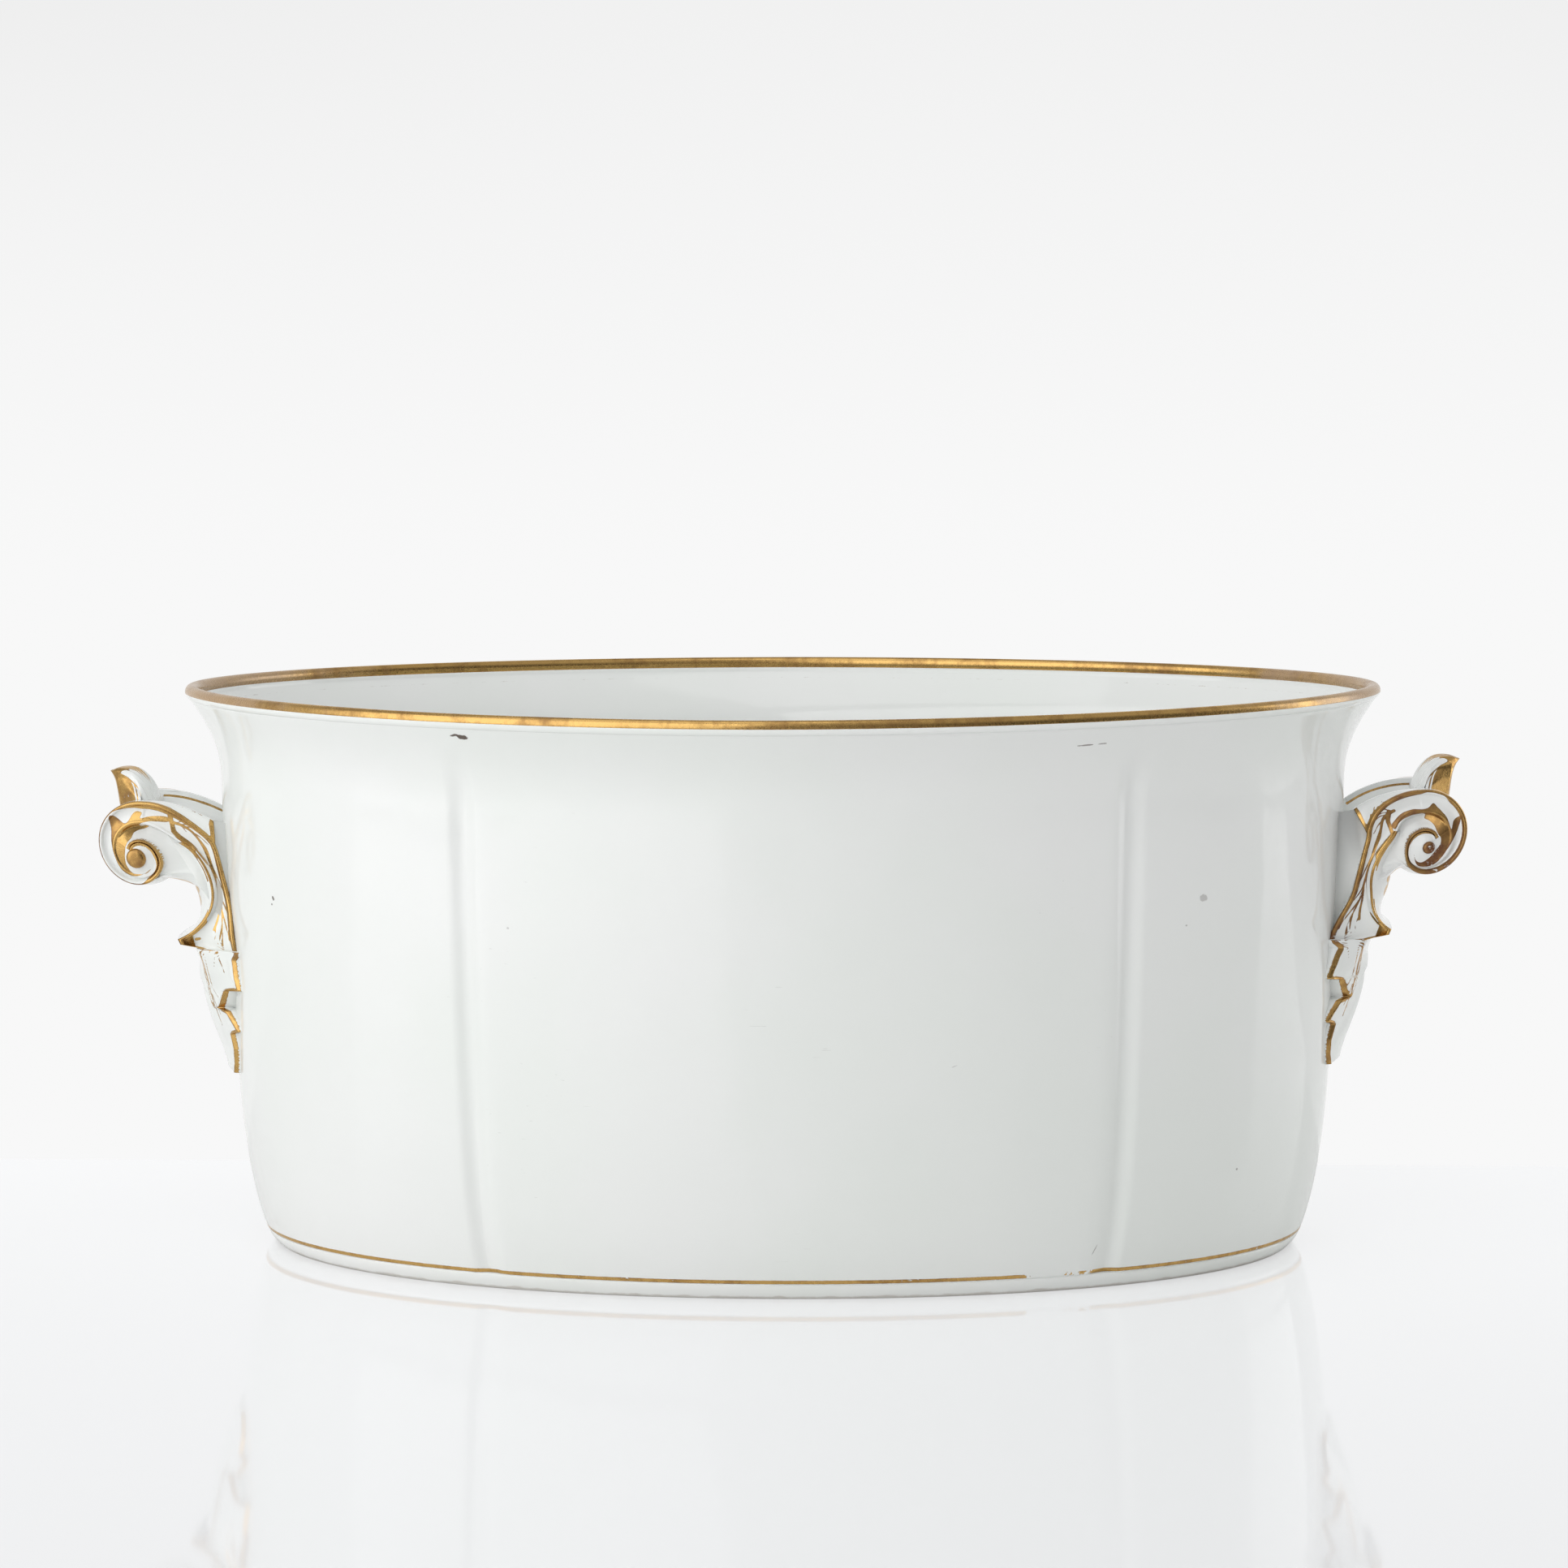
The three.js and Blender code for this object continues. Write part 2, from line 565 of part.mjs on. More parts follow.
// The leaf that stands on the bolster as a thumb rest: three fluted lobes towards the outside and
// a rounded back that leans over them
function thumbLeaf() {
  const root = voluteTop.y - CHANNEL_DEPTH - THUMB_ROOT;
  const tip = point(THUMB_REACH, voluteTop.y + THUMB_RISE);
  const lobeTip = point(LOBE_REACH, tip.y - LOBE_DROP);
  const tall = tip.y - root;
  const curve = (low, first, second, high) => new THREE.CubicBezierCurve(
    point(low, root), point(first[0], root + first[1] * tall),
    point(second[0], root + second[1] * tall), high,
  );
  const front = curve(THUMB_FRONT, [THUMB_FRONT + 1.4, 0.37], [THUMB_FRONT + 0.6, 0.71], tip);
  const back = curve(-THUMB_BACK, [-THUMB_BACK - 0.4, 0.45], [1.2, 1 + THUMB_CROWN / tall], tip);
  const lobeFront = curve(THUMB_FRONT / 2, [THUMB_FRONT * 0.7, 0.37], [LOBE_REACH - 2, 0.68], lobeTip);
  const lobeBack = curve(1.2 - THUMB_BACK, [0.6 - THUMB_BACK, 0.4], [0, 0.97], lobeTip);
  const edge = curve(-0.5, [-0.8, 0.27], [-0.6, 0.53], point(1.2, root + tall * 0.74));
  return leafBody(12, 5, (across, down, outer) => {
    const share = Math.abs(across);
    const up = (1 - down) * lobeAt(share);
    const [middle, lobe] = outer ? [front, lobeFront] : [back, lobeBack];
    const spot = bowed(middle.getPoint(up), lobe.getPoint(up), edge.getPoint(up), share);
    const flute = (1 + Math.cos(2 * Math.PI * share / LOBE_SHARE)) / 2;
    const hollow = outer ? flute * Math.sin(Math.PI * up) : LOBE_EDGE + up * (1 - share) / 2;
    const spread = smoothstep(up, 0, 0.45) * (1 - THUMB_NECK / THUMB_WIDTH) + THUMB_NECK / THUMB_WIDTH;
    const narrow = spread - 0.3 * smoothstep(up, 0.6, 1);
    return { x: spot.x - THUMB_FLUTE * hollow, y: across * THUMB_WIDTH / 2 * narrow, z: spot.y };
  }).subtract(gripRoll(GAP));
}

// Half width of the acanthus leaf down its length, with its teeth
function leafEdge(down) {
  const teeth = [
    [0, 0.98], [0.05, 0.88], [0.1, 0.9], [0.3, 1], [0.33, 0.8], [0.45, 0.72], [0.48, 0.78],
    [0.64, 0.97], [0.67, 0.82], [0.8, 0.86], [1, 0.8],
  ];
  const next = teeth.findIndex(([level]) => level >= down);
  if (next < 1) return teeth[0][1] * LEAF_WIDTH / 2;
  const [low, high] = [teeth[next - 1], teeth[next]];
  return lerp(low[1], high[1], (down - low[0]) / (high[0] - low[0])) * LEAF_WIDTH / 2;
}

// Leaf of two raised ridges with a valley between them, laid on the wall below the stem
function acanthusLeaf(eye) {
  const rows = 18;
  const buried = -EYE_OUT - 16;
  return leafBody(12, rows, (across, down, front) => {
    const y = across * leafEdge(down);
    const reach = LEAF_LENGTH - LEAF_SHEAR * (1 - Math.abs(across)) * smoothstep(down, 0.6, 1);
    const q = -STEM_LENGTH - GAP - reach * down;
    if (!front) return { x: buried, y, z: q };
    const ridge = LEAF_RIDGES / 2;
    const taper = lerp(LEAF_CROWN, LEAF_TIP, smoothstep(down, 0.3, 1.1));
    const crown = taper + 2 * (1 - smoothstep(down, 0, 0.15));
    const fall = clamp((Math.abs(y) - ridge) / (LEAF_WIDTH / 2 - ridge + LEAF_EDGE), 0, 1);
    const bend = lerp(3, 1.15, smoothstep(down, 0, 0.3));
    const valley = LEAF_VALLEY * smoothstep(down, 0.05, 0.4) * (1 - smoothstep(Math.abs(y), 0, ridge));
    const height = crown * (1 - fall ** bend) - valley * crown / LEAF_CROWN;
    return { x: wallReach(y, eye.z + q) - eye.x + Math.max(height, LEAF_EDGE), y, z: q };
  });
}

// Assembly

const cooler = new THREE.Group();
const cutter = wallCutter();

cooler.add(
  meshOf(footRing(), 'foot_ring', BISCUIT),
  meshOf(tubFloor(), 'tub_floor', PORCELAIN),
  meshOf(tubWall(), 'tub_wall', PORCELAIN),
  meshOf(rimRoll(), 'rim_roll', GILDING),
);

// The handles stand at slightly different heights and their stems lean apart, as they were pressed
// and luted on by hand
function handle(side, level, lean) {
  const eyeZ = HEIGHT - EYE_DROP + level;
  const eye = new THREE.Vector3(halfLengthAt(eyeZ) + EYE_OUT, 0, eyeZ);
  const group = new THREE.Group();
  group.position.set(side === 'left' ? -eye.x : eye.x, 0, eye.z);
  group.rotation.z = side === 'left' ? Math.PI : 0;
  const wall = cutter.translate([-eye.x, 0, -eye.z]);
  const cheek = scrollCheek(lean).subtract(wall);
  const mirrored = cheek.mirror([0, 1, 0]);
  const named = (name, body, finish = PORCELAIN) => meshOf(body, `${side}_${name}`, finish);
  group.add(
    named('bracket', bracket(lean).subtract(wall)),
    named(side === 'left' ? 'front_scroll' : 'rear_scroll', cheek),
    named(side === 'left' ? 'rear_scroll' : 'front_scroll', mirrored),
    named('grip_roll', gripRoll()),
    named('thumb_leaf', thumbLeaf(), GILDING),
    named('acanthus_leaf', acanthusLeaf(eye).subtract(wall)),
  );
  return group;
}

cooler.add(
  handle('left', -HANDLE_OFFSET, -HANDLE_LEAN),
  handle('right', HANDLE_OFFSET, HANDLE_LEAN),
);

export default cooler;
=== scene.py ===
"""Oval porcelain champagne cooler with gilded scroll handles: fine surfaces, finishes and a studio."""
import math

import bmesh
import bpy
import numpy as np
from mathutils import Matrix, Vector


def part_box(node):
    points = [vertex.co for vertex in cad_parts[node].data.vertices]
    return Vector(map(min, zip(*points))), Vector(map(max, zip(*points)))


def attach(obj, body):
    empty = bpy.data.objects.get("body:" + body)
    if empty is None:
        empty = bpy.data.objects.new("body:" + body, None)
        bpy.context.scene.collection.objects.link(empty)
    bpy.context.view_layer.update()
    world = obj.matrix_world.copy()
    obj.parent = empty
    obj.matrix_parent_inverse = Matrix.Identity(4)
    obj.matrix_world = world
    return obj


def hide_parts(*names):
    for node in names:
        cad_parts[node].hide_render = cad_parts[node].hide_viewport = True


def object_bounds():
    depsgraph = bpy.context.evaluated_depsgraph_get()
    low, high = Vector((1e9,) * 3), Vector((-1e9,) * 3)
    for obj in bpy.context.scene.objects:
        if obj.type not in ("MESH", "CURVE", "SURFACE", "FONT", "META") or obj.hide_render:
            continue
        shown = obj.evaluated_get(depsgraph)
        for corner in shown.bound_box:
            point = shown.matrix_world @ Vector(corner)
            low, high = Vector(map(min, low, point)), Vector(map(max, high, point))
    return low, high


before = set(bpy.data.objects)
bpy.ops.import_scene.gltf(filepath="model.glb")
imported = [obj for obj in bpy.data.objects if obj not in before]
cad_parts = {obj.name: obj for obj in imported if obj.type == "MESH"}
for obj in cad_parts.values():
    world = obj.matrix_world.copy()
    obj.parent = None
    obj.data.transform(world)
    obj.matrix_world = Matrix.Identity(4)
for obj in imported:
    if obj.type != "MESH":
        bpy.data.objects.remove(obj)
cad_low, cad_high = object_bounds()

bl_info = {
    "name": "Champagne cooler",
    "version": (1, 0, 0),
    "blender": (4, 5, 0),
    "location": "View3D > Sidebar > Cooler",
    "description": "Models an oval porcelain cooler with gilded scroll handles",
    "category": "Add Mesh",
}

MM = 0.001
NO_GOLD = -5.0

# Turn, tilt and roll of the camera in degrees, and the shift of its picture
CAMERA_YAW = 2.472
CAMERA_PITCH = 6.4287
CAMERA_ROLL = -0.232
CAMERA_SHIFT = 0.002386
SENSOR_WIDTH = 36.0


def extent(node, axis):
    """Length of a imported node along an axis, in metres"""
    low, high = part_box(node)
    return high[axis] - low[axis]


def length(name, metres, description):
    return bpy.props.FloatProperty(
        name=name, description=description, default=metres, min=0.0, unit="LENGTH", precision=4
    )


def colour(name, shade, description):
    return bpy.props.FloatVectorProperty(
        name=name, description=description, default=shade, min=0.0, max=1.0, size=3, subtype="COLOR"
    )


def amount(name, value, description, top=1.0):
    return bpy.props.FloatProperty(name=name, description=description, default=value, min=0.0, max=top)


class CoolerSizes(bpy.types.PropertyGroup):
    rim_length: length("Rim length", extent("rim_roll", 0), "Length of the tub over its rim")
    base_length: length("Base length", extent("foot_ring", 0), "Length of the tub at the top of its foot")
    base_depth: length("Base depth", extent("foot_ring", 1), "Depth of the tub at the top of its foot")
    height: length("Height", cad_high.z, "Height of the rim over the table")
    wall: length("Wall", 5.5 * MM, "Thickness of the wall below the neck")
    lip: length("Lip", 4.2 * MM, "Thickness of the wall under the rim roll")
    groove_width: length("Groove width", 12 * MM, "Width of the four upright grooves")
    groove_depth: length("Groove depth", 1.8 * MM, "Depth of the four upright grooves")
    gold_line: length("Gold line", 1.4 * MM, "Width of the painted line above the foot")
    handle_width: length("Handle width", 44 * MM, "Width of a handle over its gilt rims")
    handle_offset: length("Handle offset", 2.3 * MM, "How far each handle stands off their mean height")
    thumb_width: length("Leaf rest width", 27 * MM, "Width of the thumb leaf")
    acanthus_width: length("Acanthus width", 50 * MM, "Width of the acanthus leaf")


class CoolerFinish(bpy.types.PropertyGroup):
    glaze: colour("Glaze", (0.83, 0.842, 0.832), "Colour of the glazed porcelain")
    gold: colour("Gold", (0.56, 0.35, 0.12), "Colour of the burnished gold")
    browned: colour("Browned gold", (0.17, 0.07, 0.028), "Colour of gold that has browned with age")
    faded: colour("Faded gold", (0.42, 0.29, 0.18), "Colour of gold that is nearly rubbed away")
    bare: colour("Bare porcelain", (0.60, 0.585, 0.55), "Colour of the ground edge without glaze")
    specks: amount("Specks", 0.5, "How many dark kiln specks the glaze has")


class CoolerStudio(bpy.types.PropertyGroup):
    distance: length("Camera distance", 1490.85 * MM, "Distance from the camera to the middle of the tub")
    camera_height: length("Camera height", 333.5 * MM, "Height of the camera over the table")
    focal: amount("Lens", 95.448, "Focal length in millimetres on a frame 36 mm wide", 300.0)
    table_back: length("Table back", 129 * MM, "How far the table reaches behind the middle of the tub")
    key: amount("Key light", 16.3, "Power of the softbox on the left", 500.0)
    top: amount("Top light", 2.6, "Power of the softbox overhead", 500.0)
    right: amount("Right light", 5.5, "Power of the panel on the right", 500.0)
    fill: amount("Fill light", 0.69, "Strength of the white room at eye level", 5.0)
    zenith: amount("Zenith", 0.5, "Strength of the white room overhead", 5.0)


# Curves and small sums, in millimetres


def lerp(a, b, t):
    return a + (b - a) * t


def clamp(value, low=0.0, high=1.0):
    return max(low, min(high, value))


def smoothstep(value, low, high):
    t = clamp((value - low) / (high - low))
    return t * t * (3 - 2 * t)


def bezier(points, t):
    """Point of a Bezier curve of any degree"""
    row = list(points)
    while len(row) > 1:
        row = [a.lerp(b, t) for a, b in zip(row, row[1:])]
    return row[0]


def pair(x, y):
    return Vector((x, y))


class TubForm:
    """Shape of the oval tub, in millimetres"""

    FOOT_TOP = 5.5
    FLOOR_TOP = 12.5
    COVE = 9.0
    BELLY_RISE = 53.0
    BELLY_SWELL = 9.3
    NECK_DROP = 32.5
    FLARE = 12.5
    ROLL_RADIUS = 2.6
    ROLL_SEAT = 0.4
    JOINT = 0.3
    SAG = 1.5
    FULLNESS = (2.05, 1.83)
    GROOVE_SPACING = 211.0
    GROOVE_SHIFT = 8.8

    def __init__(self, sizes):
        self.half_length = sizes.base_length / MM / 2
        self.depth_step = (sizes.base_length - sizes.base_depth) / MM / 2
        self.height = sizes.height / MM
        self.wall = sizes.wall / MM
        self.lip = sizes.lip / MM
        self.groove_width = sizes.groove_width / MM
        self.groove_depth = sizes.groove_depth / MM
        rim_swell = (sizes.rim_length - sizes.base_length) / MM / 2
        self.roll_z = self.height - self.ROLL_RADIUS
        self.lip_z = self.roll_z - self.ROLL_RADIUS + self.ROLL_SEAT - self.JOINT
        self.roll_swell = rim_swell - self.ROLL_RADIUS
        self.neck_z = self.height - self.NECK_DROP
        self.belly_z = self.FOOT_TOP + self.BELLY_RISE
        foot = pair(0, self.FOOT_TOP)
        belly = pair(self.BELLY_SWELL, self.belly_z)
        neck = pair(rim_swell - self.FLARE, self.neck_z)
        lip = pair(self.roll_swell + self.lip / 4, self.lip_z)
        self.curves = [
            self.wall_curve(foot, belly, (0.25, 0.58), (0.68, 0.88)),
            self.wall_curve(belly, neck, (0.33, 0.54), (0.68, 0.82)),
            self.wall_curve(neck, lip, (0.4, 0.05), (0.68, 0.44)),
        ]

    @staticmethod
    def wall_curve(start, end, leave, arrive):
        handles = [pair(lerp(start.x, end.x, out), lerp(start.y, end.y, up)) for up, out in (leave, arrive)]
        return [start, *handles, end]

    def swell_at(self, z):
        curve = next((each for each in self.curves if z <= each[3].y), self.curves[-1])
        low, high = 0.0, 1.0
        for _ in range(24):
            middle = (low + high) / 2
            if bezier(curve, middle).y < z:
                low = middle
            else:
                high = middle
        return bezier(curve, (low + high) / 2).x

    def fullness_at(self, z):
        return lerp(*self.FULLNESS, z / self.height)

    def groove_share(self, side):
        """Where a groove lies on one side of the middle, as a share of the tub's half length"""
        return (self.GROOVE_SPACING / 2 + side * self.GROOVE_SHIFT) / self.half_length

    def reach(self, y, z):
        """How far out the wall stands at the end of the tub, over a point y across it"""
        fullness = self.fullness_at(z)
        half_length = self.half_length + self.swell_at(z)
        half_depth = half_length - self.depth_step
        return half_length * (1 - (abs(y) / half_depth) ** fullness) ** (1 / fullness)


class ScrollForm:
    """Outlines of a scroll handle from the eye of its volute: p outwards and q upwards, in millimetres"""

    EYE_OUT = 28.6
    EYE_DROP = 59.1
    RADIUS = 18.1
    WIND = 0.33
    STRETCH = 1.19
    LEAN = math.radians(49)
    START = 101.0
    TURNS = 432
    FULL_TURN = 360
    POLE = Vector((-0.8, 0.9))
    COIL_FOOT = 204
    RIBBON_START = -54
    BESIDE_START = RIBBON_START + FULL_TURN
    RIBBON_END = 234
    STRAP_RISE = 13.0
    THROAT_RISE = 5.6
    THROAT_DIP = 5.0
    STEM_WAIST = 22.8
    STEM_BULGE = 9.0
    SPUR_BULGE = 1.4
    WEB_LEVEL = 19.5
    SHOULDER = 0.9
    INNER_EDGE = 21.3
    CHANNEL_DEPTH = 5.5
    HALF_STRAP = 18.0
    GRIP_SINK = 4.2
    GRIP_BULGE = 3.5

    def __init__(self, sizes):
        self.half_width = sizes.handle_width / MM / 2
        self.top = self.volute(0)
        self.coil = self.volute(self.COIL_FOOT)
        self.throat = self.volute(self.RIBBON_START, self.ribbon_inset(self.RIBBON_START))
        self.strut_top = pair(2 - self.EYE_OUT, self.STRAP_RISE)
        self.join = pair(self.strut_top.x + 1.7, self.STRAP_RISE - 8)
        self.stem_foot = pair(-self.EYE_OUT - 6, -33.5)
        self.stem_end = pair(self.stem_foot.x + 12.6, self.stem_foot.y)
        self.spur_tip = pair(-12.7, -29.5)
        self.spur_under = [
            pair(self.spur_tip.x - 0.7, self.spur_tip.y - 1.9),
            pair((self.spur_tip.x + self.stem_end.x) / 2 - 1, self.spur_tip.y - 2.9),
        ]
        self.crest_line = [
            self.strut_top, pair((self.strut_top.x + self.top.x) / 2, self.top.y), self.top,
        ]
        self.gold_line = [
            self.join, pair(self.join.x + 2.2, self.join.y + 6),
            pair(self.top.x - 10, self.top.y - 0.2), self.top,
        ]
        self.stem_inner = [
            self.stem_foot, pair(self.stem_foot.x + 4.7, self.stem_foot.y * 0.48),
            pair(self.join.x - 2.6, self.join.y - 10), self.join,
        ]
        pull = -(self.STEM_WAIST + (self.throat.x + self.spur_tip.x) / 8) / 0.75
        drop = (self.throat.y - self.spur_tip.y) / 4
        self.stem_outer = [
            self.throat, pair(pull + 2.7, self.throat.y - drop), pair(pull - 2.7, self.spur_tip.y + drop),
            self.spur_tip,
        ]

    def volute(self, wound, inset=0.0):
        """A log spiral stretched along a leaning axis, by the degrees it has wound inwards"""
        radius = self.radius_at(wound) - inset
        angle = math.radians(self.START - wound) - self.LEAN
        x = radius * math.cos(angle) * self.STRETCH
        y = radius * math.sin(angle)
        c, s = math.cos(self.LEAN), math.sin(self.LEAN)
        return pair(x * c - y * s, x * s + y * c) + self.POLE

    def radius_at(self, wound):
        return self.RADIUS * math.exp(-self.WIND * wound / 100)

    def ribbon_inset(self, wound):
        if wound <= self.RIBBON_END:
            return lerp(7.6, 2.6, wound / self.RIBBON_END)
        return lerp(2.6, 1.9, (wound - self.RIBBON_END) / (self.TURNS - self.RIBBON_END))

    def bulge(self, y):
        return 1 - (y / self.half_width) ** 2

    def stem_face(self, y, t):
        spot = bezier(self.stem_outer, t)
        fullest = lerp(self.STEM_BULGE, self.SPUR_BULGE, smoothstep(t, 0.45, 1))
        return pair(spot.x + fullest * self.bulge(y), spot.y)

    def throat_arch(self, y, t):
        """Arch under the web, from the coil (0) to the stem (1)"""
        foot = self.stem_face(y, 0.5)
        rise = self.THROAT_RISE - self.THROAT_DIP * self.bulge(y)
        top = pair((self.coil.x + foot.x) / 2, (self.coil.y + foot.y) / 2 + 2 * rise)
        return bezier([self.coil, top, foot], t)

    # Heights of the cheek's face, towards the side

    def level(self, wound):
        """Floor of the channel beside the outer rim, which climbs towards the eye"""
        return self.half_width - 1.2 + 1.9 * smoothstep(wound, 60, self.TURNS + 60)

    def rim_height(self, wound):
        return 1.2 - 0.3 * smoothstep(wound, 100, 300) - 0.9 * smoothstep(wound, 385, self.TURNS)

    def hollow(self, wound):
        return 3.2 * (1 - smoothstep(wound, -10, 72))

    def inner_level(self, wound):
        """Level of the ribbon's inner edge, where the web starts"""
        return lerp(self.INNER_EDGE, self.level(wound) + 0.25, smoothstep(wound, 60, 200))

    def edge_level(self, wound):
        """Level where the ribbon's outer rim meets what lies beside it"""
        shoulder = self.half_width - self.SHOULDER
        if wound <= self.BESIDE_START:
            return lerp(shoulder, self.WEB_LEVEL, smoothstep(wound, self.COIL_FOOT, 225))
        beside = self.level(wound) - 0.8 * self.hollow(wound - self.FULL_TURN)
        return lerp(self.WEB_LEVEL, beside, smoothstep(wound, self.BESIDE_START, self.BESIDE_START + 12))


# Meshes


def new_bmesh():
    mesh = bmesh.new()
    mesh.verts.layers.float.new("gild")
    mesh.verts.layers.float.new("tone")
    return mesh


def lay_grid(mesh, rails, gild=None, tone=None):
    """Lays a grid over rails of points that are equally long; gild and tone hold one value for each point"""
    layer = mesh.verts.layers.float["gild"]
    tones = mesh.verts.layers.float["tone"]
    across, along = len(rails) - 1, len(rails[0]) - 1
    grid = bmesh.ops.create_grid(mesh, x_segments=along, y_segments=across, size=0.5)
    for vertex in grid["verts"]:
        i = round((vertex.co.x + 0.5) * along)
        j = round((vertex.co.y + 0.5) * across)
        vertex.co = rails[j][i]
        vertex[layer] = gild[j][i] if gild else NO_GOLD
        vertex[tones] = tone[j][i] if tone else 0.0


def close_up(mesh, distance=0.004):
    """Merges what meets, closes what is open and turns the faces outwards"""
    bmesh.ops.remove_doubles(mesh, verts=mesh.verts, dist=distance)
    bmesh.ops.dissolve_degenerate(mesh, edges=mesh.edges, dist=distance / 4)
    rim = [edge for edge in mesh.edges if edge.is_boundary]
    if rim:
        bmesh.ops.holes_fill(mesh, edges=rim, sides=0)
    bmesh.ops.recalc_face_normals(mesh, faces=mesh.faces)
    for face in mesh.faces:
        face.smooth = True


def join_in(mesh, other):
    """Adds another bmesh to a bmesh and frees it"""
    data = bpy.data.meshes.new("joined")
    other.to_mesh(data)
    other.free()
    mesh.from_mesh(data)
    bpy.data.meshes.remove(data)


def finish_piece(mesh, name, nodes, material, place=None, gild=None, tone=None):
    """Makes a piece of a bmesh in millimetres, puts it in its place and lets it stand for CAD nodes"""
    data = bpy.data.meshes.new(name)
    mesh.to_mesh(data)
    mesh.free()
    spots = np.zeros(len(data.vertices) * 3)
    data.vertices.foreach_get("co", spots)
    spots = spots.reshape(-1, 3)
    for layer, painted in (("gild", gild), ("tone", tone)):
        if painted is not None:
            values = np.zeros(len(data.vertices))
            data.attributes[layer].data.foreach_get("value", values)
            data.attributes[layer].data.foreach_set("value", np.maximum(values, painted(spots)))
    if place is not None:
        spots, mirrored = place(spots)
        if mirrored:
            data.flip_normals()
    data.vertices.foreach_set("co", (spots * MM).ravel())
    data.update()
    piece = bpy.data.objects.new(name, data)
    bpy.context.scene.collection.objects.link(piece)
    data.materials.append(material)
    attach(piece, "root")
    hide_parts(*nodes)


# Painted gilding: signed distances in millimetres, more than nothing where the gold lies


def flowing(points, steps=6, closed=False):
    """A smooth line through a few points"""
    spots = [np.array(spot, float) for spot in points]
    if closed:
        spots = [spots[-1], *spots, spots[0], spots[1]]
    else:
        spots = [2 * spots[0] - spots[1], *spots, 2 * spots[-1] - spots[-2]]
    line = []
    for a, b, c, d in zip(spots, spots[1:], spots[2:], spots[3:]):
        for t in np.arange(steps) / steps:
            line.append(
                b + 0.5 * t * (c - a + t * (2 * a - 5 * b + 4 * c - d + t * (3 * (b - c) + d - a)))
            )
    return line if closed else [*line, spots[-2]]


def beside_run(spots, a, b):
    """Share of the way from a to b at which each spot lies, and how far it is from that line"""
    run = b - a
    t = np.clip(((spots - a) @ run) / max(run @ run, 1e-9), 0, 1)
    return t, np.linalg.norm(spots - a - t[:, None] * run, axis=1)


def stroke(spots, points, start, end, steps=5):
    """A brush stroke that changes its width from start to end"""
    line = flowing(points, steps)
    best = np.full(len(spots), -9.0)
    last = len(line) - 1
    for i, (a, b) in enumerate(zip(line, line[1:])):
        t, away = beside_run(spots, a, b)
        width = start + (end - start) * (i + t) / last
        best = np.maximum(best, width / 2 - away)
    return best


def area(spots, points, steps=5):
    """A painted shape with a smooth outline"""
    line = flowing(points, steps, closed=True)
    inside = np.zeros(len(spots), bool)
    away = np.full(len(spots), 9.0)
    for a, b in zip(line, line[1:] + line[:1]):
        away = np.minimum(away, beside_run(spots, a, b)[1])
        run = b - a
        crosses = (a[1] > spots[:, 1]) != (b[1] > spots[:, 1])
        where = a[0] + run[0] * (spots[:, 1] - a[1]) / (run[1] if run[1] else 1e-9)
        inside ^= crosses & (spots[:, 0] < where)
    return np.where(inside, away, -away)


def strokes(spots, many):
    return np.maximum.reduce([stroke(spots, *each) for each in many])


# Node groups and materials


class NodeSheet:
    """Adds nodes to a tree and links them"""

    def __init__(self, tree):
        self.tree = tree

    def add(self, kind, inputs=None, **settings):
        node = self.tree.nodes.new(kind)
        for key, value in settings.items():
            setattr(node, key, value)
        for key, value in (inputs or {}).items():
            self.feed(node.inputs[key], value)
        return node

    def feed(self, socket, value):
        """Links another node's output to a socket, or sets a constant on it"""
        if isinstance(value, bpy.types.NodeSocket):
            self.tree.links.new(value, socket)
        else:
            socket.default_value = value

    def axes(self, place):
        """The X, Y and Z of a vector"""
        return self.add("ShaderNodeSeparateXYZ", {"Vector": place}).outputs

    def maths(self, operation, *values, clamped=False):
        inputs = dict(enumerate(values))
        return self.add("ShaderNodeMath", inputs, operation=operation, use_clamp=clamped).outputs[0]

    def times(self, a, b):
        return self.maths("MULTIPLY", a, b)

    def plus(self, a, b, clamped=False):
        return self.maths("ADD", a, b, clamped=clamped)

    def minus(self, a, b):
        return self.maths("SUBTRACT", a, b)

    def group(self, name, maker, inputs):
        """A shared node group, made when it is first used"""
        tree = bpy.data.node_groups.get(name) or maker()
        return self.add("ShaderNodeGroup", inputs, node_tree=tree).outputs

    def surface(self, shader, kind="ShaderNodeOutputMaterial"):
        self.add(kind, {"Surface": shader.outputs[0]})

    def close_group(self, results):
        """Leads the results out of a node group"""
        self.add("NodeGroupOutput", results)
        return self.tree

    def ramp(self, value, low, high, start=0.0, end=1.0):
        inputs = {"Value": value, "From Min": low, "From Max": high, "To Min": start, "To Max": end}
        return self.add("ShaderNodeMapRange", inputs, interpolation_type="SMOOTHSTEP").outputs["Result"]

    def noise(self, place, scale, detail=3.0, roughness=0.5):
        inputs = {"Vector": place, "Scale": scale, "Detail": detail, "Roughness": roughness}
        return self.add("ShaderNodeTexNoise", inputs).outputs["Fac"]

    def mix(self, factor, a, b):
        node = self.add("ShaderNodeMix", data_type="RGBA")
        for index, value in ((0, factor), (6, a), (7, b)):
            self.feed(node.inputs[index], value)
        return node.outputs[2]


ORIGIN = (0.0, 0.0, 0.0)


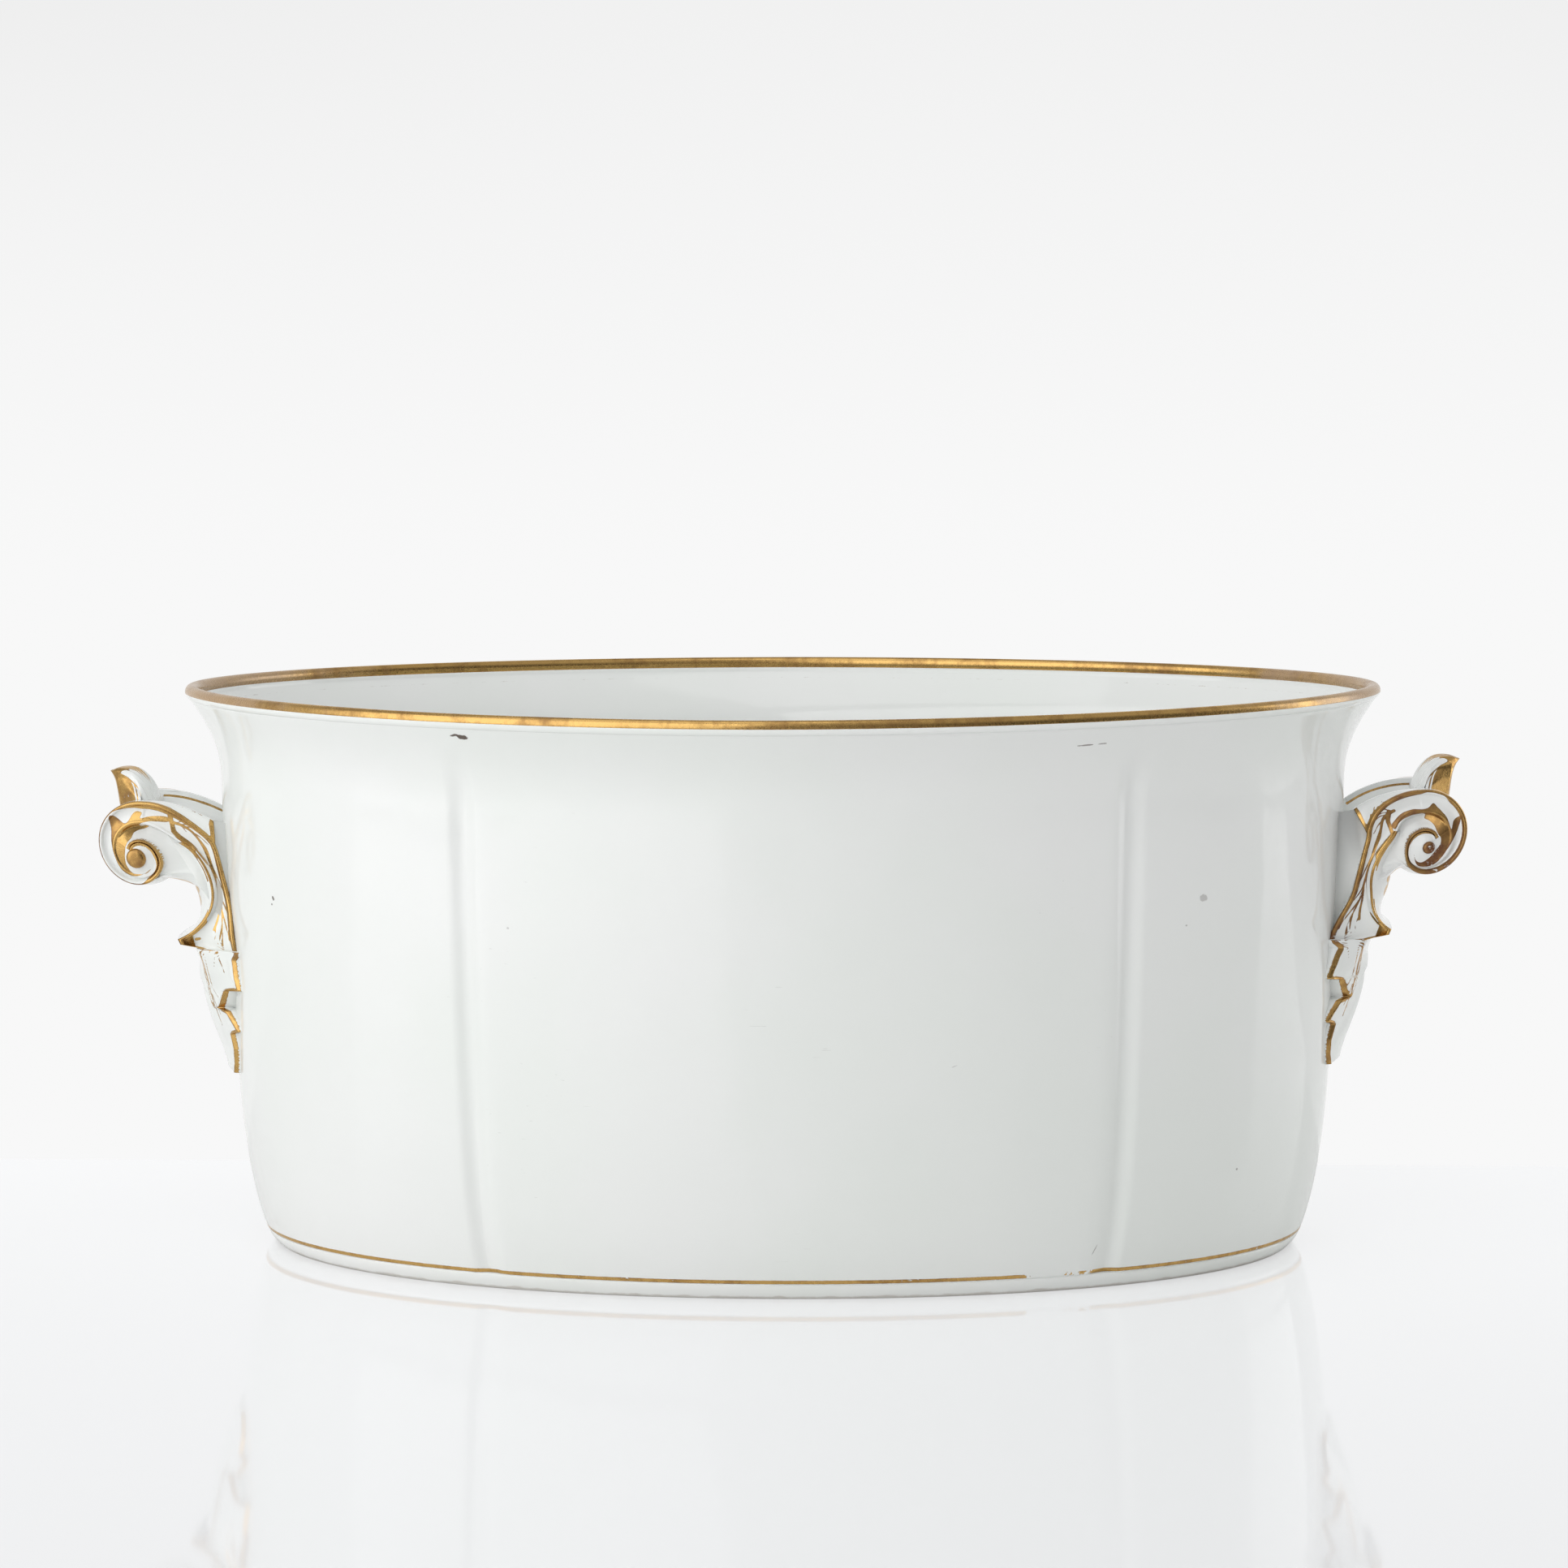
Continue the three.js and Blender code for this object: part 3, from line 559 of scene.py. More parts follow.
def new_group(name, inputs, outputs):
    """A shader node group, from the names and defaults of its inputs and the names of its outputs"""
    tree = bpy.data.node_groups.new(name, "ShaderNodeTree")
    for socket_name, default in inputs.items():
        kind = {3: "NodeSocketVector", 4: "NodeSocketColor"}.get(np.size(default), "NodeSocketFloat")
        socket = tree.interface.new_socket(socket_name, in_out="INPUT", socket_type=kind)
        socket.default_value = default
    for socket_name in outputs:
        tree.interface.new_socket(socket_name, in_out="OUTPUT", socket_type="NodeSocketFloat")
    sheet = NodeSheet(tree)
    return sheet, sheet.add("NodeGroupInput").outputs


def kiln_specks_group():
    """Dark specks from the firing and hairline scratches in the glaze"""
    sheet, given = new_group("Kiln specks", {"Place": ORIGIN, "Amount": 0.5}, ["Mask"])
    place = given["Place"]
    cells = sheet.add("ShaderNodeTexVoronoi", {"Vector": place, "Scale": 55.0}, feature="F1").outputs
    picked = sheet.add("ShaderNodeSeparateColor", {"Color": cells["Color"]}).outputs[0]
    chosen = sheet.maths("LESS_THAN", picked, sheet.times(given["Amount"], 0.06))
    size = sheet.ramp(picked, 0.0, 0.03, 0.008, 0.02)
    dot = sheet.maths("LESS_THAN", cells["Distance"], size)
    stretch = {"Vector": place, "Rotation": (0.0, 0.9, 0.0), "Scale": (90.0, 900.0, 2600.0)}
    scratch = sheet.noise(sheet.add("ShaderNodeMapping", stretch).outputs[0], 1.0, 2.0)
    line = sheet.ramp(scratch, 0.74, 0.78, 0.0, 0.3)
    rare = sheet.ramp(sheet.noise(place, 16.0, 1.0), 0.6, 0.7)
    mask = sheet.maths("MAXIMUM", sheet.times(chosen, dot), sheet.times(line, rare))
    return sheet.close_group({"Mask": mask})


def rubbed_gilding_group():
    """Where painted gold lies, from a signed distance in millimetres, and how far it has browned"""
    sheet, given = new_group(
        "Rubbed gilding", {"Place": ORIGIN, "Gild": 0.0, "Rubbed": 0.35, "Browned": 0.4, "Raggedness": 0.3},
        ["Mask", "Brown", "Grain"],
    )
    fine = sheet.noise(given["Place"], 1400.0, 3.0)
    coarse = sheet.noise(given["Place"], 330.0, 4.0, 0.6)
    broad = sheet.noise(given["Place"], 60.0, 3.0, 0.6)
    jitter = sheet.times(sheet.minus(coarse, 0.5), given["Raggedness"])
    shifted = sheet.plus(given["Gild"], jitter)
    shape = sheet.ramp(shifted, -0.07, 0.07)
    wear = sheet.plus(sheet.times(coarse, 0.5), sheet.times(broad, 0.5))
    wear = sheet.plus(wear, sheet.times(sheet.minus(fine, 0.5), 0.25))
    bare = sheet.minus(0.72, sheet.times(given["Rubbed"], 0.42))
    kept = sheet.ramp(sheet.minus(wear, bare), 0.0, 0.06, 1.0, 0.0)
    edge = sheet.ramp(shifted, 0.0, 0.45, 0.55, 0.0)
    blotch = sheet.minus(sheet.plus(broad, sheet.times(coarse, 0.6)), 0.8)
    brown = sheet.plus(sheet.times(blotch, 2.2), sheet.times(edge, 0.5))
    brown = sheet.plus(brown, sheet.minus(given["Browned"], 0.3), clamped=True)
    return sheet.close_group({"Mask": sheet.times(shape, kept), "Brown": brown, "Grain": fine})


def glaze_group():
    """Faint cloudiness and waviness of the glaze"""
    sheet, given = new_group("Glaze", {"Place": ORIGIN}, ["Cloud", "Height"])
    cloud = sheet.ramp(sheet.noise(given["Place"], 9.0, 3.0), 0.3, 0.7)
    slow = sheet.noise(given["Place"], 26.0, 1.0)
    fine = sheet.noise(given["Place"], 210.0, 1.0)
    height = sheet.plus(sheet.times(slow, 0.9), sheet.times(fine, 0.04))
    return sheet.close_group({"Cloud": cloud, "Height": height})


def opaque(shade):
    return (*shade, 1.0)


def new_material(name):
    """An empty material and the sheet for its nodes"""
    material = bpy.data.materials.new(name)
    material.use_nodes = True
    material.node_tree.nodes.clear()
    return material, NodeSheet(material.node_tree)


# Each mark's x and z, its half length and half height, all in millimetres, its turn in degrees and its depth
WALL_MARKS = (
    (-102.5, 193.4, 2.6, 0.9, -12, 0.95), (-105.0, 193.9, 1.6, 0.5, 10, 0.9),
    (107.0, 190.3, 3.0, 0.28, 3, 0.7), (112.5, 190.6, 1.8, 0.25, 4, 0.6),
    (148.0, 135.0, 1.5, 1.4, 0, 0.35), (-176.0, 131.0, 0.5, 0.9, 20, 0.8),
    (-176.6, 128.8, 0.35, 0.4, 0, 0.7), (161.0, 38.0, 0.45, 0.5, 0, 0.5),
    (111.0, 14.5, 2.2, 0.2, 62, 0.45), (63.0, 82.0, 1.2, 0.2, 20, 0.22),
    (-88.0, 128.0, 0.5, 0.4, 0, 0.3), (142.0, 126.0, 0.4, 0.4, 0, 0.4),
)


def wall_marks(sheet, place):
    """Dark ragged marks on the outside of the front"""
    axes = sheet.axes(place)
    flat = sheet.add("ShaderNodeCombineXYZ", {"X": axes["X"], "Y": axes["Z"], "Z": 0.0}).outputs[0]
    ragged = sheet.noise(place, 900.0, 2.0)
    found = 0.0
    for x, z, half_length, half_height, turn, depth in WALL_MARKS:
        spot = sheet.add("ShaderNodeMapping", {
            "Vector": flat, "Location": (x * MM, z * MM, 0), "Rotation": (0, 0, math.radians(turn)),
            "Scale": (half_length * MM, half_height * MM, 1),
        }, vector_type="TEXTURE").outputs[0]
        away = sheet.add("ShaderNodeVectorMath", {0: spot}, operation="LENGTH").outputs["Value"]
        away = sheet.plus(away, sheet.minus(ragged, 0.5))
        found = sheet.maths("MAXIMUM", found, sheet.ramp(away, 0.75, 1.0, depth, 0.0))
    facing = sheet.axes(sheet.add("ShaderNodeNewGeometry").outputs["Normal"])["Y"]
    outside = sheet.maths("LESS_THAN", sheet.maths("MAXIMUM", axes["Y"], facing), 0.0)
    return sheet.times(found, outside)


GLAZE_DULL = 0.07
GLAZE_IOR = 1.52
SPECK_SHADE = (0.09, 0.075, 0.06, 1.0)
# Colour of the dark marks on the outside of the front
DARK_MARK_COLOUR = (0.07, 0.04, 0.025, 1.0)


def porcelain_material(
    name, rubbed=0.35, browned=0.4, raggedness=0.3, wear_band=None, soil=None, faded=None, marks=None
):
    """Glazed porcelain with painted gold where the piece's gild attribute is more than nothing"""
    finish = bpy.context.scene.cooler_finish
    material, sheet = new_material(name)
    place = sheet.add("ShaderNodeTexCoord").outputs["Object"]
    gild, tone = (
        sheet.add("ShaderNodeAttribute", attribute_name=layer).outputs["Fac"] for layer in ("gild", "tone")
    )
    glaze = sheet.group("Glaze", glaze_group, {"Place": place})
    specks = sheet.group("Kiln specks", kiln_specks_group, {"Place": place, "Amount": finish.specks})
    gold = sheet.group("Rubbed gilding", rubbed_gilding_group, {
        "Place": place, "Gild": gild, "Rubbed": wear_band(sheet, place, rubbed) if wear_band else rubbed,
        "Browned": sheet.plus(tone, browned), "Raggedness": raggedness,
    })
    mask, brown, grain = (gold[key] for key in ("Mask", "Brown", "Grain"))

    greener = opaque([value * factor for value, factor in zip(finish.glaze, (0.965, 0.985, 0.965))])
    ground = sheet.mix(glaze["Cloud"], opaque(finish.glaze), greener)
    ground = sheet.mix(specks["Mask"], ground, SPECK_SHADE)
    if marks:
        ground = sheet.mix(marks(sheet, place), ground, DARK_MARK_COLOUR)
    dull = GLAZE_DULL
    if soil:
        soiled = soil(sheet, place)
        ground = sheet.mix(soiled, ground, opaque(finish.bare))
        dull = sheet.ramp(soiled, 0.0, 1.0, GLAZE_DULL, 0.75)

    pale = faded(sheet, place) if faded else 0.0
    bright = sheet.mix(brown, opaque(finish.gold), opaque(finish.browned))
    bright = sheet.mix(pale, bright, opaque(finish.faded))
    gold_dull = sheet.plus(sheet.times(brown, 0.22), sheet.ramp(grain, 0.3, 0.7, 0.16, 0.3))
    metal = sheet.times(mask, sheet.ramp(brown, 0.3, 1.0, 1.0, 0.6))
    lift = sheet.times(mask, sheet.plus(0.05, sheet.times(grain, 0.03)))
    height = sheet.plus(glaze["Height"], lift)
    bump = sheet.add("ShaderNodeBump", {"Height": height, "Strength": 0.5, "Distance": 1.0 * MM})
    sheet.surface(sheet.add("ShaderNodeBsdfPrincipled", {
        "Base Color": sheet.mix(mask, ground, bright), "Metallic": sheet.times(metal, sheet.minus(1.0, pale)),
        "Roughness": sheet.plus(dull, sheet.times(mask, sheet.minus(gold_dull, dull))),
        "Normal": bump.outputs["Normal"], "IOR": GLAZE_IOR,
    }))
    return material


# Tub


def oval_angles(form, steps, side):
    """Angles round the oval at the rim, closer together over the groove, for one quarter"""
    half_length = form.half_length + form.roll_swell
    spread = form.groove_width * 0.6 / half_length
    marks = [0.0]
    for reach in (form.groove_share(side) + spread, form.groove_share(side) - spread):
        marks.append(math.acos(reach ** (form.FULLNESS[1] / 2)))
    marks.append(math.pi / 2)
    counts = [round(steps * part) for part in (0.42, 0.28)]
    counts.append(steps - sum(counts))
    quarter = []
    for start, end, count in zip(marks, marks[1:], counts):
        quarter += [lerp(start, end, i / count) for i in range(count)]
    return [*quarter, math.pi / 2]


def spin_oval(form, profile, steps=112, grooved=False):
    """Spins a profile round the tub and draws the ring out into the oval.

    A profile point holds its reach along the tub, its height, the reach of the outside there and its gilding.
    """
    mesh = new_bmesh()
    layer = mesh.verts.layers.float["gild"]
    number = mesh.verts.layers.int.new("number")
    row = []
    for index, (reach, z, _, gild) in enumerate(profile):
        vertex = mesh.verts.new((reach, 0, z))
        vertex[layer] = gild
        vertex[number] = index
        row.append(vertex)
    edges = [mesh.edges.new(ends) for ends in zip(row, row[1:])]
    edges.append(mesh.edges.new((row[-1], row[0])))
    bmesh.ops.spin(
        mesh, geom=row + edges, cent=(0, 0, 0), axis=(0, 0, 1), angle=2 * math.pi, steps=4 * steps,
        use_merge=True,
    )
    quarters = {side: oval_angles(form, steps, side) for side in (1, -1)}
    fade_end = lerp(form.neck_z, form.lip_z, 0.8)
    for vertex in mesh.verts:
        reach, z, outside, _ = profile[vertex[number]]
        station = round(math.atan2(vertex.co.y, vertex.co.x) / (2 * math.pi) * 4 * steps) % (4 * steps)
        turn, step = divmod(station, steps)
        quarter = quarters[1 if turn in (0, 3) else -1]
        angle = quarter[step] if turn % 2 == 0 else math.pi / 2 - quarter[steps - step]
        angle += turn * math.pi / 2
        fullness = form.fullness_at(z)
        c, s = math.cos(angle), math.sin(angle)
        depth = reach - form.depth_step * clamp(reach / outside)
        x = reach * math.copysign(abs(c) ** (2 / fullness), c)
        y = depth * math.copysign(abs(s) ** (2 / fullness), s)
        if grooved and reach == outside and z < fade_end:
            across = (abs(x) - form.groove_share(math.copysign(1, x)) * outside) / form.groove_width
            if abs(across) < 0.5:
                cut = (1 + math.cos(2 * math.pi * across)) / 2
                cut *= form.groove_depth * (1 - smoothstep(z, form.neck_z - 4, fade_end))
                inward = Vector((c / reach, s / depth)).normalized() * cut
                x -= inward.x
                y -= inward.y
        dip = smoothstep(z, form.neck_z, form.lip_z) * (1 - (x / outside) ** 2)
        vertex.co = (x, y, z - form.SAG * dip)
    close_up(mesh)
    return mesh


def line_gild(z, middle, width):
    return width / 2 - abs(z - middle)


def wall_profile(form, line_width):
    """Outside of the wall, over the lip and down the inside"""
    heights = [form.FOOT_TOP - 0.3 + 0.35 * i for i in range(7)]
    heights += [lerp(heights[-1] + 1, form.neck_z, i / 40) for i in range(41)]
    heights += [lerp(form.neck_z, form.lip_z + 1.2, (i + 1) / 30) for i in range(30)]
    profile = []
    for z in heights:
        reach = form.half_length + form.swell_at(min(z, form.lip_z))
        tuck = 0.5 * (1 - smoothstep(z, form.FOOT_TOP - 0.3, form.FOOT_TOP + 0.5))
        profile.append((reach - tuck, z, reach - tuck, line_gild(z, form.FOOT_TOP + 0.9, line_width)))
    inside = [z for z in heights if z > form.FLOOR_TOP - 4]
    for z in reversed(inside):
        outside = form.half_length + form.swell_at(min(z, form.lip_z))
        thickness = lerp(form.wall, form.lip, smoothstep(z, form.neck_z, form.lip_z))
        profile.append((outside - thickness, z, outside, line_gild(z, form.lip_z - 2.2, line_width * 0.5)))
    return profile


def floor_profile(form):
    """Floor with its cove against the wall, and its underside"""
    edge_z = form.FLOOR_TOP + form.COVE
    profile = []
    for step in range(13):
        angle = step / 12 * math.pi / 2
        z = edge_z - form.COVE * math.sin(angle)
        outside = form.half_length + form.swell_at(z)
        inset = form.wall - 0.2 + form.COVE * (1 - math.cos(angle))
        profile.append((outside - inset, z, outside, NO_GOLD))
    last, level, outside, _ = profile[-1]
    for i in range(1, 12):
        z = level - 0.5 * math.sin(i / 12 * math.pi / 2)
        profile.append((last * (1 - i / 12), z, outside, NO_GOLD))
    profile.append((0.01, level - 0.5, outside, NO_GOLD))
    base = form.half_length
    profile.append((0.01, form.FOOT_TOP, base, NO_GOLD))
    profile += [((base - form.wall - 0.3) * i / 6, form.FOOT_TOP, base, NO_GOLD) for i in range(1, 7)]
    return profile


# Middle and breadth of the gold round the rim roll, in degrees from outwards
ROLL_GOLD = (80, 270)


def roll_profile(form):
    """Round roll of the rim, with its underside seated on the lip"""
    centre = form.half_length + form.roll_swell
    outside = centre + form.ROLL_RADIUS
    profile = []
    for step in range(28):
        angle = step / 28 * 2 * math.pi
        reach = centre + form.ROLL_RADIUS * math.cos(angle)
        z = form.roll_z + form.ROLL_RADIUS * math.sin(angle)
        gild = clamp(line_gild(math.degrees(angle), *ROLL_GOLD) / 20, -2.0, 2.0)
        profile.append((reach, z, outside, gild))
    return profile


def foot_profile(form):
    """Foot ring, tucked in below, with a rounded ground edge"""
    edge = form.half_length
    outline = [
        (0.6, 5.5), (0.45, 5.0), (0.55, 4.4), (0.9, 3.6), (1.6, 2.6), (2.4, 1.7), (3.1, 1.0), (3.7, 0.45),
        (4.3, 0.08), (5.0, 0.0), (9.6, 0.0), (10.4, 0.15), (10.9, 0.7), (11.4, 2.6), (12.0, 5.5),
    ]
    return [(edge - inset, z, edge, NO_GOLD) for inset, z in outline]


def foot_soil(sheet, place):
    """Bare and soiled below a ragged line round the foot"""
    ragged = sheet.times(sheet.minus(sheet.noise(place, 160.0, 4.0), 0.5), 2.2 * MM)
    return sheet.ramp(sheet.plus(sheet.axes(place)["Z"], ragged), 0.7 * MM, 1.5 * MM, 1.0, 0.0)


def foot_line_wear(sheet, place, rubbed):
    """The foot's line is worn away towards the right of the front"""
    away = sheet.maths("ABSOLUTE", sheet.minus(sheet.axes(place)["X"], 100 * MM))
    return sheet.ramp(away, 8 * MM, 18 * MM, 0.85, rubbed)


def rim_fading(sheet, place):
    """The rim's gold is rubbed to a pale brown towards its two ends and in patches"""
    patches = sheet.times(sheet.minus(sheet.noise(place, 42.0, 4.0, 0.65), 0.5), 120 * MM)
    reach = sheet.plus(sheet.maths("ABSOLUTE", sheet.axes(place)["X"]), patches)
    return sheet.ramp(reach, 150 * MM, 205 * MM, 0.0, 0.8)


# Handles


def spaced(start, end, count):
    return [lerp(start, end, i / count) for i in range(count)]


STEM_STEPS = 204
UNDER_STEPS = 6


def scroll_stations(form):
    """Pairs of points on the outer and inner edge of the ribbon, with the degrees wound"""
    stations = []
    under = [form.stem_end, form.spur_under[1], form.spur_under[0]]
    for i in range(UNDER_STEPS):
        low = under[i // 2]
        high = (under + [form.spur_tip])[i // 2 + 1]
        stations.append((bezier(form.stem_inner, 0.01 * i), low.lerp(high, i % 2 / 2), None))
    for t in spaced(0, 1, STEM_STEPS):
        stations.append((bezier(form.stem_inner, lerp(0.06, 1, t)), bezier(form.stem_outer, 1 - t), None))
    for wound in range(form.RIBBON_START, form.TURNS + 1):
        inner = form.volute(wound, form.ribbon_inset(wound))
        outer = form.volute(wound)
        if wound < 0:
            outer = bezier(form.gold_line, 1 - wound / form.RIBBON_START)
        stations.append((outer, inner, wound))
    return stations


RIM_SHARES = (0.0, 0.07, 0.2, 0.35, 0.5, 0.65, 0.82, 1.0)
CHANNEL_SHARES = tuple((i + 1) / 26 for i in range(26))
INNER_SHARES = (0.2, 0.4, 0.6, 0.8, 1.0)
WEB_SHARES = (
    0, 0.03, 0.07, 0.13, 0.2, 0.27, 0.34, 0.41, 0.48, 0.55, 0.62, 0.69, 0.76, 0.83, 0.89, 0.94, 0.97, 1,
)
RIM_BAND = 1.7
INNER_BAND = 1.4
FLANK_GOLD = 0.8
EYE_INNER = 1.2
EYE_LEVEL = 23.4


def rounded(t):
    return math.sqrt(max(0.0, math.sin(math.pi * clamp(t))))


def rim_gold(side, wound):
    """Width and tone of the gold on the ribbon's outer rim"""
    if side == "left":
        worn = smoothstep(wound, 14, 44) - smoothstep(wound, 188, 214)
        whole = smoothstep(wound, 335, 365)
        top = smoothstep(wound, -58, -35) * (1 - smoothstep(wound, 0, 20))
        width = 2.0 + 0.7 * top - 1.5 * worn + 0.7 * smoothstep(wound, 230, 320) + 6 * whole
        return width, 0.55 * worn + 0.22 * smoothstep(wound, 190, 230)
    worn = smoothstep(wound, -6, 8) - smoothstep(wound, 26, 40)
    return 1.9 - 1.1 * worn - 0.7 * smoothstep(wound, 370, 430), 0.25 + 0.2 * worn


def ribbon_point(form, station, zone, t, side):
    """Point across the ribbon with its gilding: zone 0 is the outer rim, 1 the channel, 2 the inner rim"""
    outer, inner, wound = station
    turned = -60 if wound is None else wound
    width = (inner - outer).length
    scale = min(1.0, width / (RIM_BAND + INNER_BAND + 0.2))
    band, inner_band = RIM_BAND * scale, INNER_BAND * scale
    floor = form.level(max(turned, 0))
    top = floor + form.rim_height(turned)
    ends = (0.0, band, width - inner_band, width)
    away = lerp(ends[zone], ends[zone + 1], t)
    inner_height = 0.75 - 0.4 * smoothstep(turned, -20, 20) - 0.35 * smoothstep(turned, 150, 220)
    rise = form.inner_level(turned) - floor
    sag = 0.55 + 0.35 * (turned < 0)
    if zone == 0:
        edge = form.edge_level(max(turned, 0))
        y = lerp(edge, floor, t) + (top - lerp(edge, floor, t)) * rounded(0.06 + 0.94 * t) if t > 0 else edge
    elif zone == 1:
        y = floor + rise * t - sag * math.sin(math.pi * t)
    else:
        y = floor + rise + inner_height * rounded(t)
    spot = outer.lerp(inner, away / width)
    gold_width, tone = rim_gold(side, turned)
    gild = min(gold_width - away, away + 0.6)
    if wound is None:
        gild = max(gild, min(2.4 - (width - away), 1.0))
    return Vector((spot.x, y, spot.y)), gild, tone if zone < 2 else 0.0


def web_level(form, wound, t, end_level, depth):
    """Level between the ribbon's inner edge and the next turn"""
    drop = smoothstep(t, 0, 0.14) * (1 - 0.2 * smoothstep(t, 0.5, 1))
    return lerp(form.inner_level(wound), end_level, t) - depth * drop


# How far from the handle's middle the flanks of a cheek have their lips, and where they end
INNER_LIP = 18.5
ARCH_LIP = 17.6
FLANK_FOOT = 16.2


def cheek_mesh(form, side):
    """Cheek of a scroll: ribbon, web and coil towards the side, lip and flanks towards the middle"""
    mesh = new_bmesh()
    stations = scroll_stations(form)
    zones = [(0, t) for t in RIM_SHARES] + [(1, t) for t in CHANNEL_SHARES] + [(2, t) for t in INNER_SHARES]
    grid = [[ribbon_point(form, station, *zone, side) for station in stations] for zone in zones]
    lay_grid(mesh, *[[[point[part] for point in row] for row in grid] for part in range(3)])

    turns = [station for station in stations if station[2] is not None]
    rails = [[] for _ in WEB_SHARES]
    for outer, inner, wound in turns:
        next_turn = wound + form.FULL_TURN
        if next_turn <= form.TURNS:
            end = form.volute(next_turn)
            end_level = form.edge_level(next_turn) + 0.8 * form.hollow(wound)
        else:
            end, end_level = form.volute(wound, form.radius_at(wound) - EYE_INNER), EYE_LEVEL
        for rail, t in zip(rails, WEB_SHARES):
            spot = inner.lerp(end, t)
            rail.append(Vector((spot.x, web_level(form, wound, t, end_level, form.hollow(wound)), spot.y)))
    lay_grid(mesh, rails)

    top = [rail[0] for rail in rails]
    half = STEM_STEPS // 2
    arch = [form.throat_arch(form.WEB_LEVEL - 1, 1 - t) for t in WEB_SHARES]
    stem_side = [bezier(form.stem_outer, 0.5 * k / half) for k in range(half + 1)]
    beside = [lerp(form.BESIDE_START, form.COIL_FOOT, k / half) for k in range(half + 1)]
    coil_side = [form.volute(wound) for wound in beside]
    patch = [[] for _ in WEB_SHARES]
    depth = form.hollow(form.RIBBON_START)
    for k in range(half + 1):
        s = k / half
        for j, t in enumerate(WEB_SHARES):
            sides = stem_side[k].lerp(coil_side[k], t)
            ends = pair(top[j].x, top[j].z).lerp(arch[j], s)
            corners = stem_side[0].lerp(coil_side[0], t).lerp(arch[0].lerp(arch[-1], t), s)
            spot = sides + ends - corners
            end_level = form.edge_level(beside[k]) + 0.8 * depth
            level = web_level(form, form.RIBBON_START, t, end_level, depth)
            level -= 2.8 * t * (1 - t) * smoothstep(s, 0.88, 1) ** 2
            patch[j].append(Vector((spot.x, level, spot.y)))
    lay_grid(mesh, patch)

    loop = []
    for i in range(len(stations)):
        outer, _, wound = stations[i]
        if wound is not None and wound > form.COIL_FOOT:
            break
        ridge = grid[0][i][0]
        lip = Vector((outer.x, form.HALF_STRAP, outer.y))
        if wound is not None and wound < 0:
            over = bezier(form.crest_line, 1 - wound / form.RIBBON_START)
            lip = Vector((over.x, form.HALF_STRAP, over.y))
        low = Vector((lip.x, FLANK_FOOT, lip.z))
        if wound is None:
            inner_lean = smoothstep(i, len(stations) * 0.2, UNDER_STEPS + STEM_STEPS) * 1.2
            lip = Vector((outer.x + 0.3 * inner_lean, form.HALF_STRAP, outer.y))
            low = Vector((outer.x + inner_lean, FLANK_FOOT, outer.y))
        loop.append((ridge, lip, low))
    arch_start, arch_end = len(loop), len(loop) + len(WEB_SHARES) + 1
    for j in range(len(WEB_SHARES) - 1, -1, -1):
        below = form.throat_arch(FLANK_FOOT, 1 - WEB_SHARES[j])
        lip, low = (Vector((below.x, y, below.y)) for y in (ARCH_LIP, FLANK_FOOT))
        loop.append((patch[j][-1], lip, low))
    inner_edge = [grid[-1][i][0] for i in range(UNDER_STEPS + STEM_STEPS - half, -1, -1)]
    for ridge in inner_edge + [row[0][0] for row in reversed(grid[1:-1])]:
        lip, low = (Vector((ridge.x, y, ridge.z)) for y in (INNER_LIP, FLANK_FOOT))
        loop.append((ridge, lip, low))
    loop.append(loop[0])
    flank, gilds = [], []
    for t in (0, 0.2, 0.4, 0.7, 1.0):
        flank.append([ridge.lerp(lip, t) for ridge, lip, _ in loop])
        row = [FLANK_GOLD - (ridge - lip).length * t for ridge, lip, _ in loop]
        row[arch_start:arch_end] = [NO_GOLD] * (arch_end - arch_start)
        gilds.append(row)
    flank += [[lip.lerp(low, t) for _, lip, low in loop] for t in (0.5, 1.0)]
    gilds += [[NO_GOLD] * len(loop)] * 2
    lay_grid(mesh, flank, gilds)
    close_up(mesh, 0.006)
    return mesh


EYE_RADIUS = {"left": 3.2, "right": 2.0}
EYE_TONE = {"left": 0.3, "right": 0.45}
EYE_FOOT = 20.5

# Rings of the knob, each a share of its radius and a level
EYE_RINGS = ((1.06, 22.2), (1.05, 23.2), (1.0, 23.9), (0.93, 24.25), (0.8, 24.5), (0.55, 24.65), (0.3, 24.7))


def eye_mesh(form, side):
    """Snail-like knob in the eye of the volute"""
    radius = EYE_RADIUS[side]
    mesh = new_bmesh()
    layer = mesh.verts.layers.float["gild"]
    tones = mesh.verts.layers.float["tone"]
    bmesh.ops.create_circle(mesh, cap_ends=True, segments=48, radius=1.0)
    face = next(iter(mesh.faces))
    for share_out, level in EYE_RINGS:
        extruded = bmesh.ops.extrude_discrete_faces(mesh, faces=[face])
        face = extruded["faces"][0]
        for vertex in face.verts:
            around = math.atan2(vertex.co.y, vertex.co.x)
            reach = radius * share_out
            vertex.co = (reach * math.cos(around), reach * math.sin(around), level)
            vertex[layer] = 1.0
    for vertex in mesh.verts:
        if vertex.co.z < EYE_FOOT:
            vertex.co = (vertex.co.x * radius * 1.2, vertex.co.y * radius * 1.2, EYE_FOOT)
            vertex[layer] = -1.0
        vertex[tones] = EYE_TONE[side]
        x, y, level = vertex.co
        x *= 1.1
        c, s = math.cos(form.LEAN), math.sin(form.LEAN)
        vertex.co = (x * c - y * s, level, x * s + y * c)
    close_up(mesh)
    return mesh


# Half widths of the bolster, of the strap between the cheeks and of the stem's front
GRIP_EDGE = 17.2
STRAP_EDGE = 17.85
STEM_EDGE = 21.7


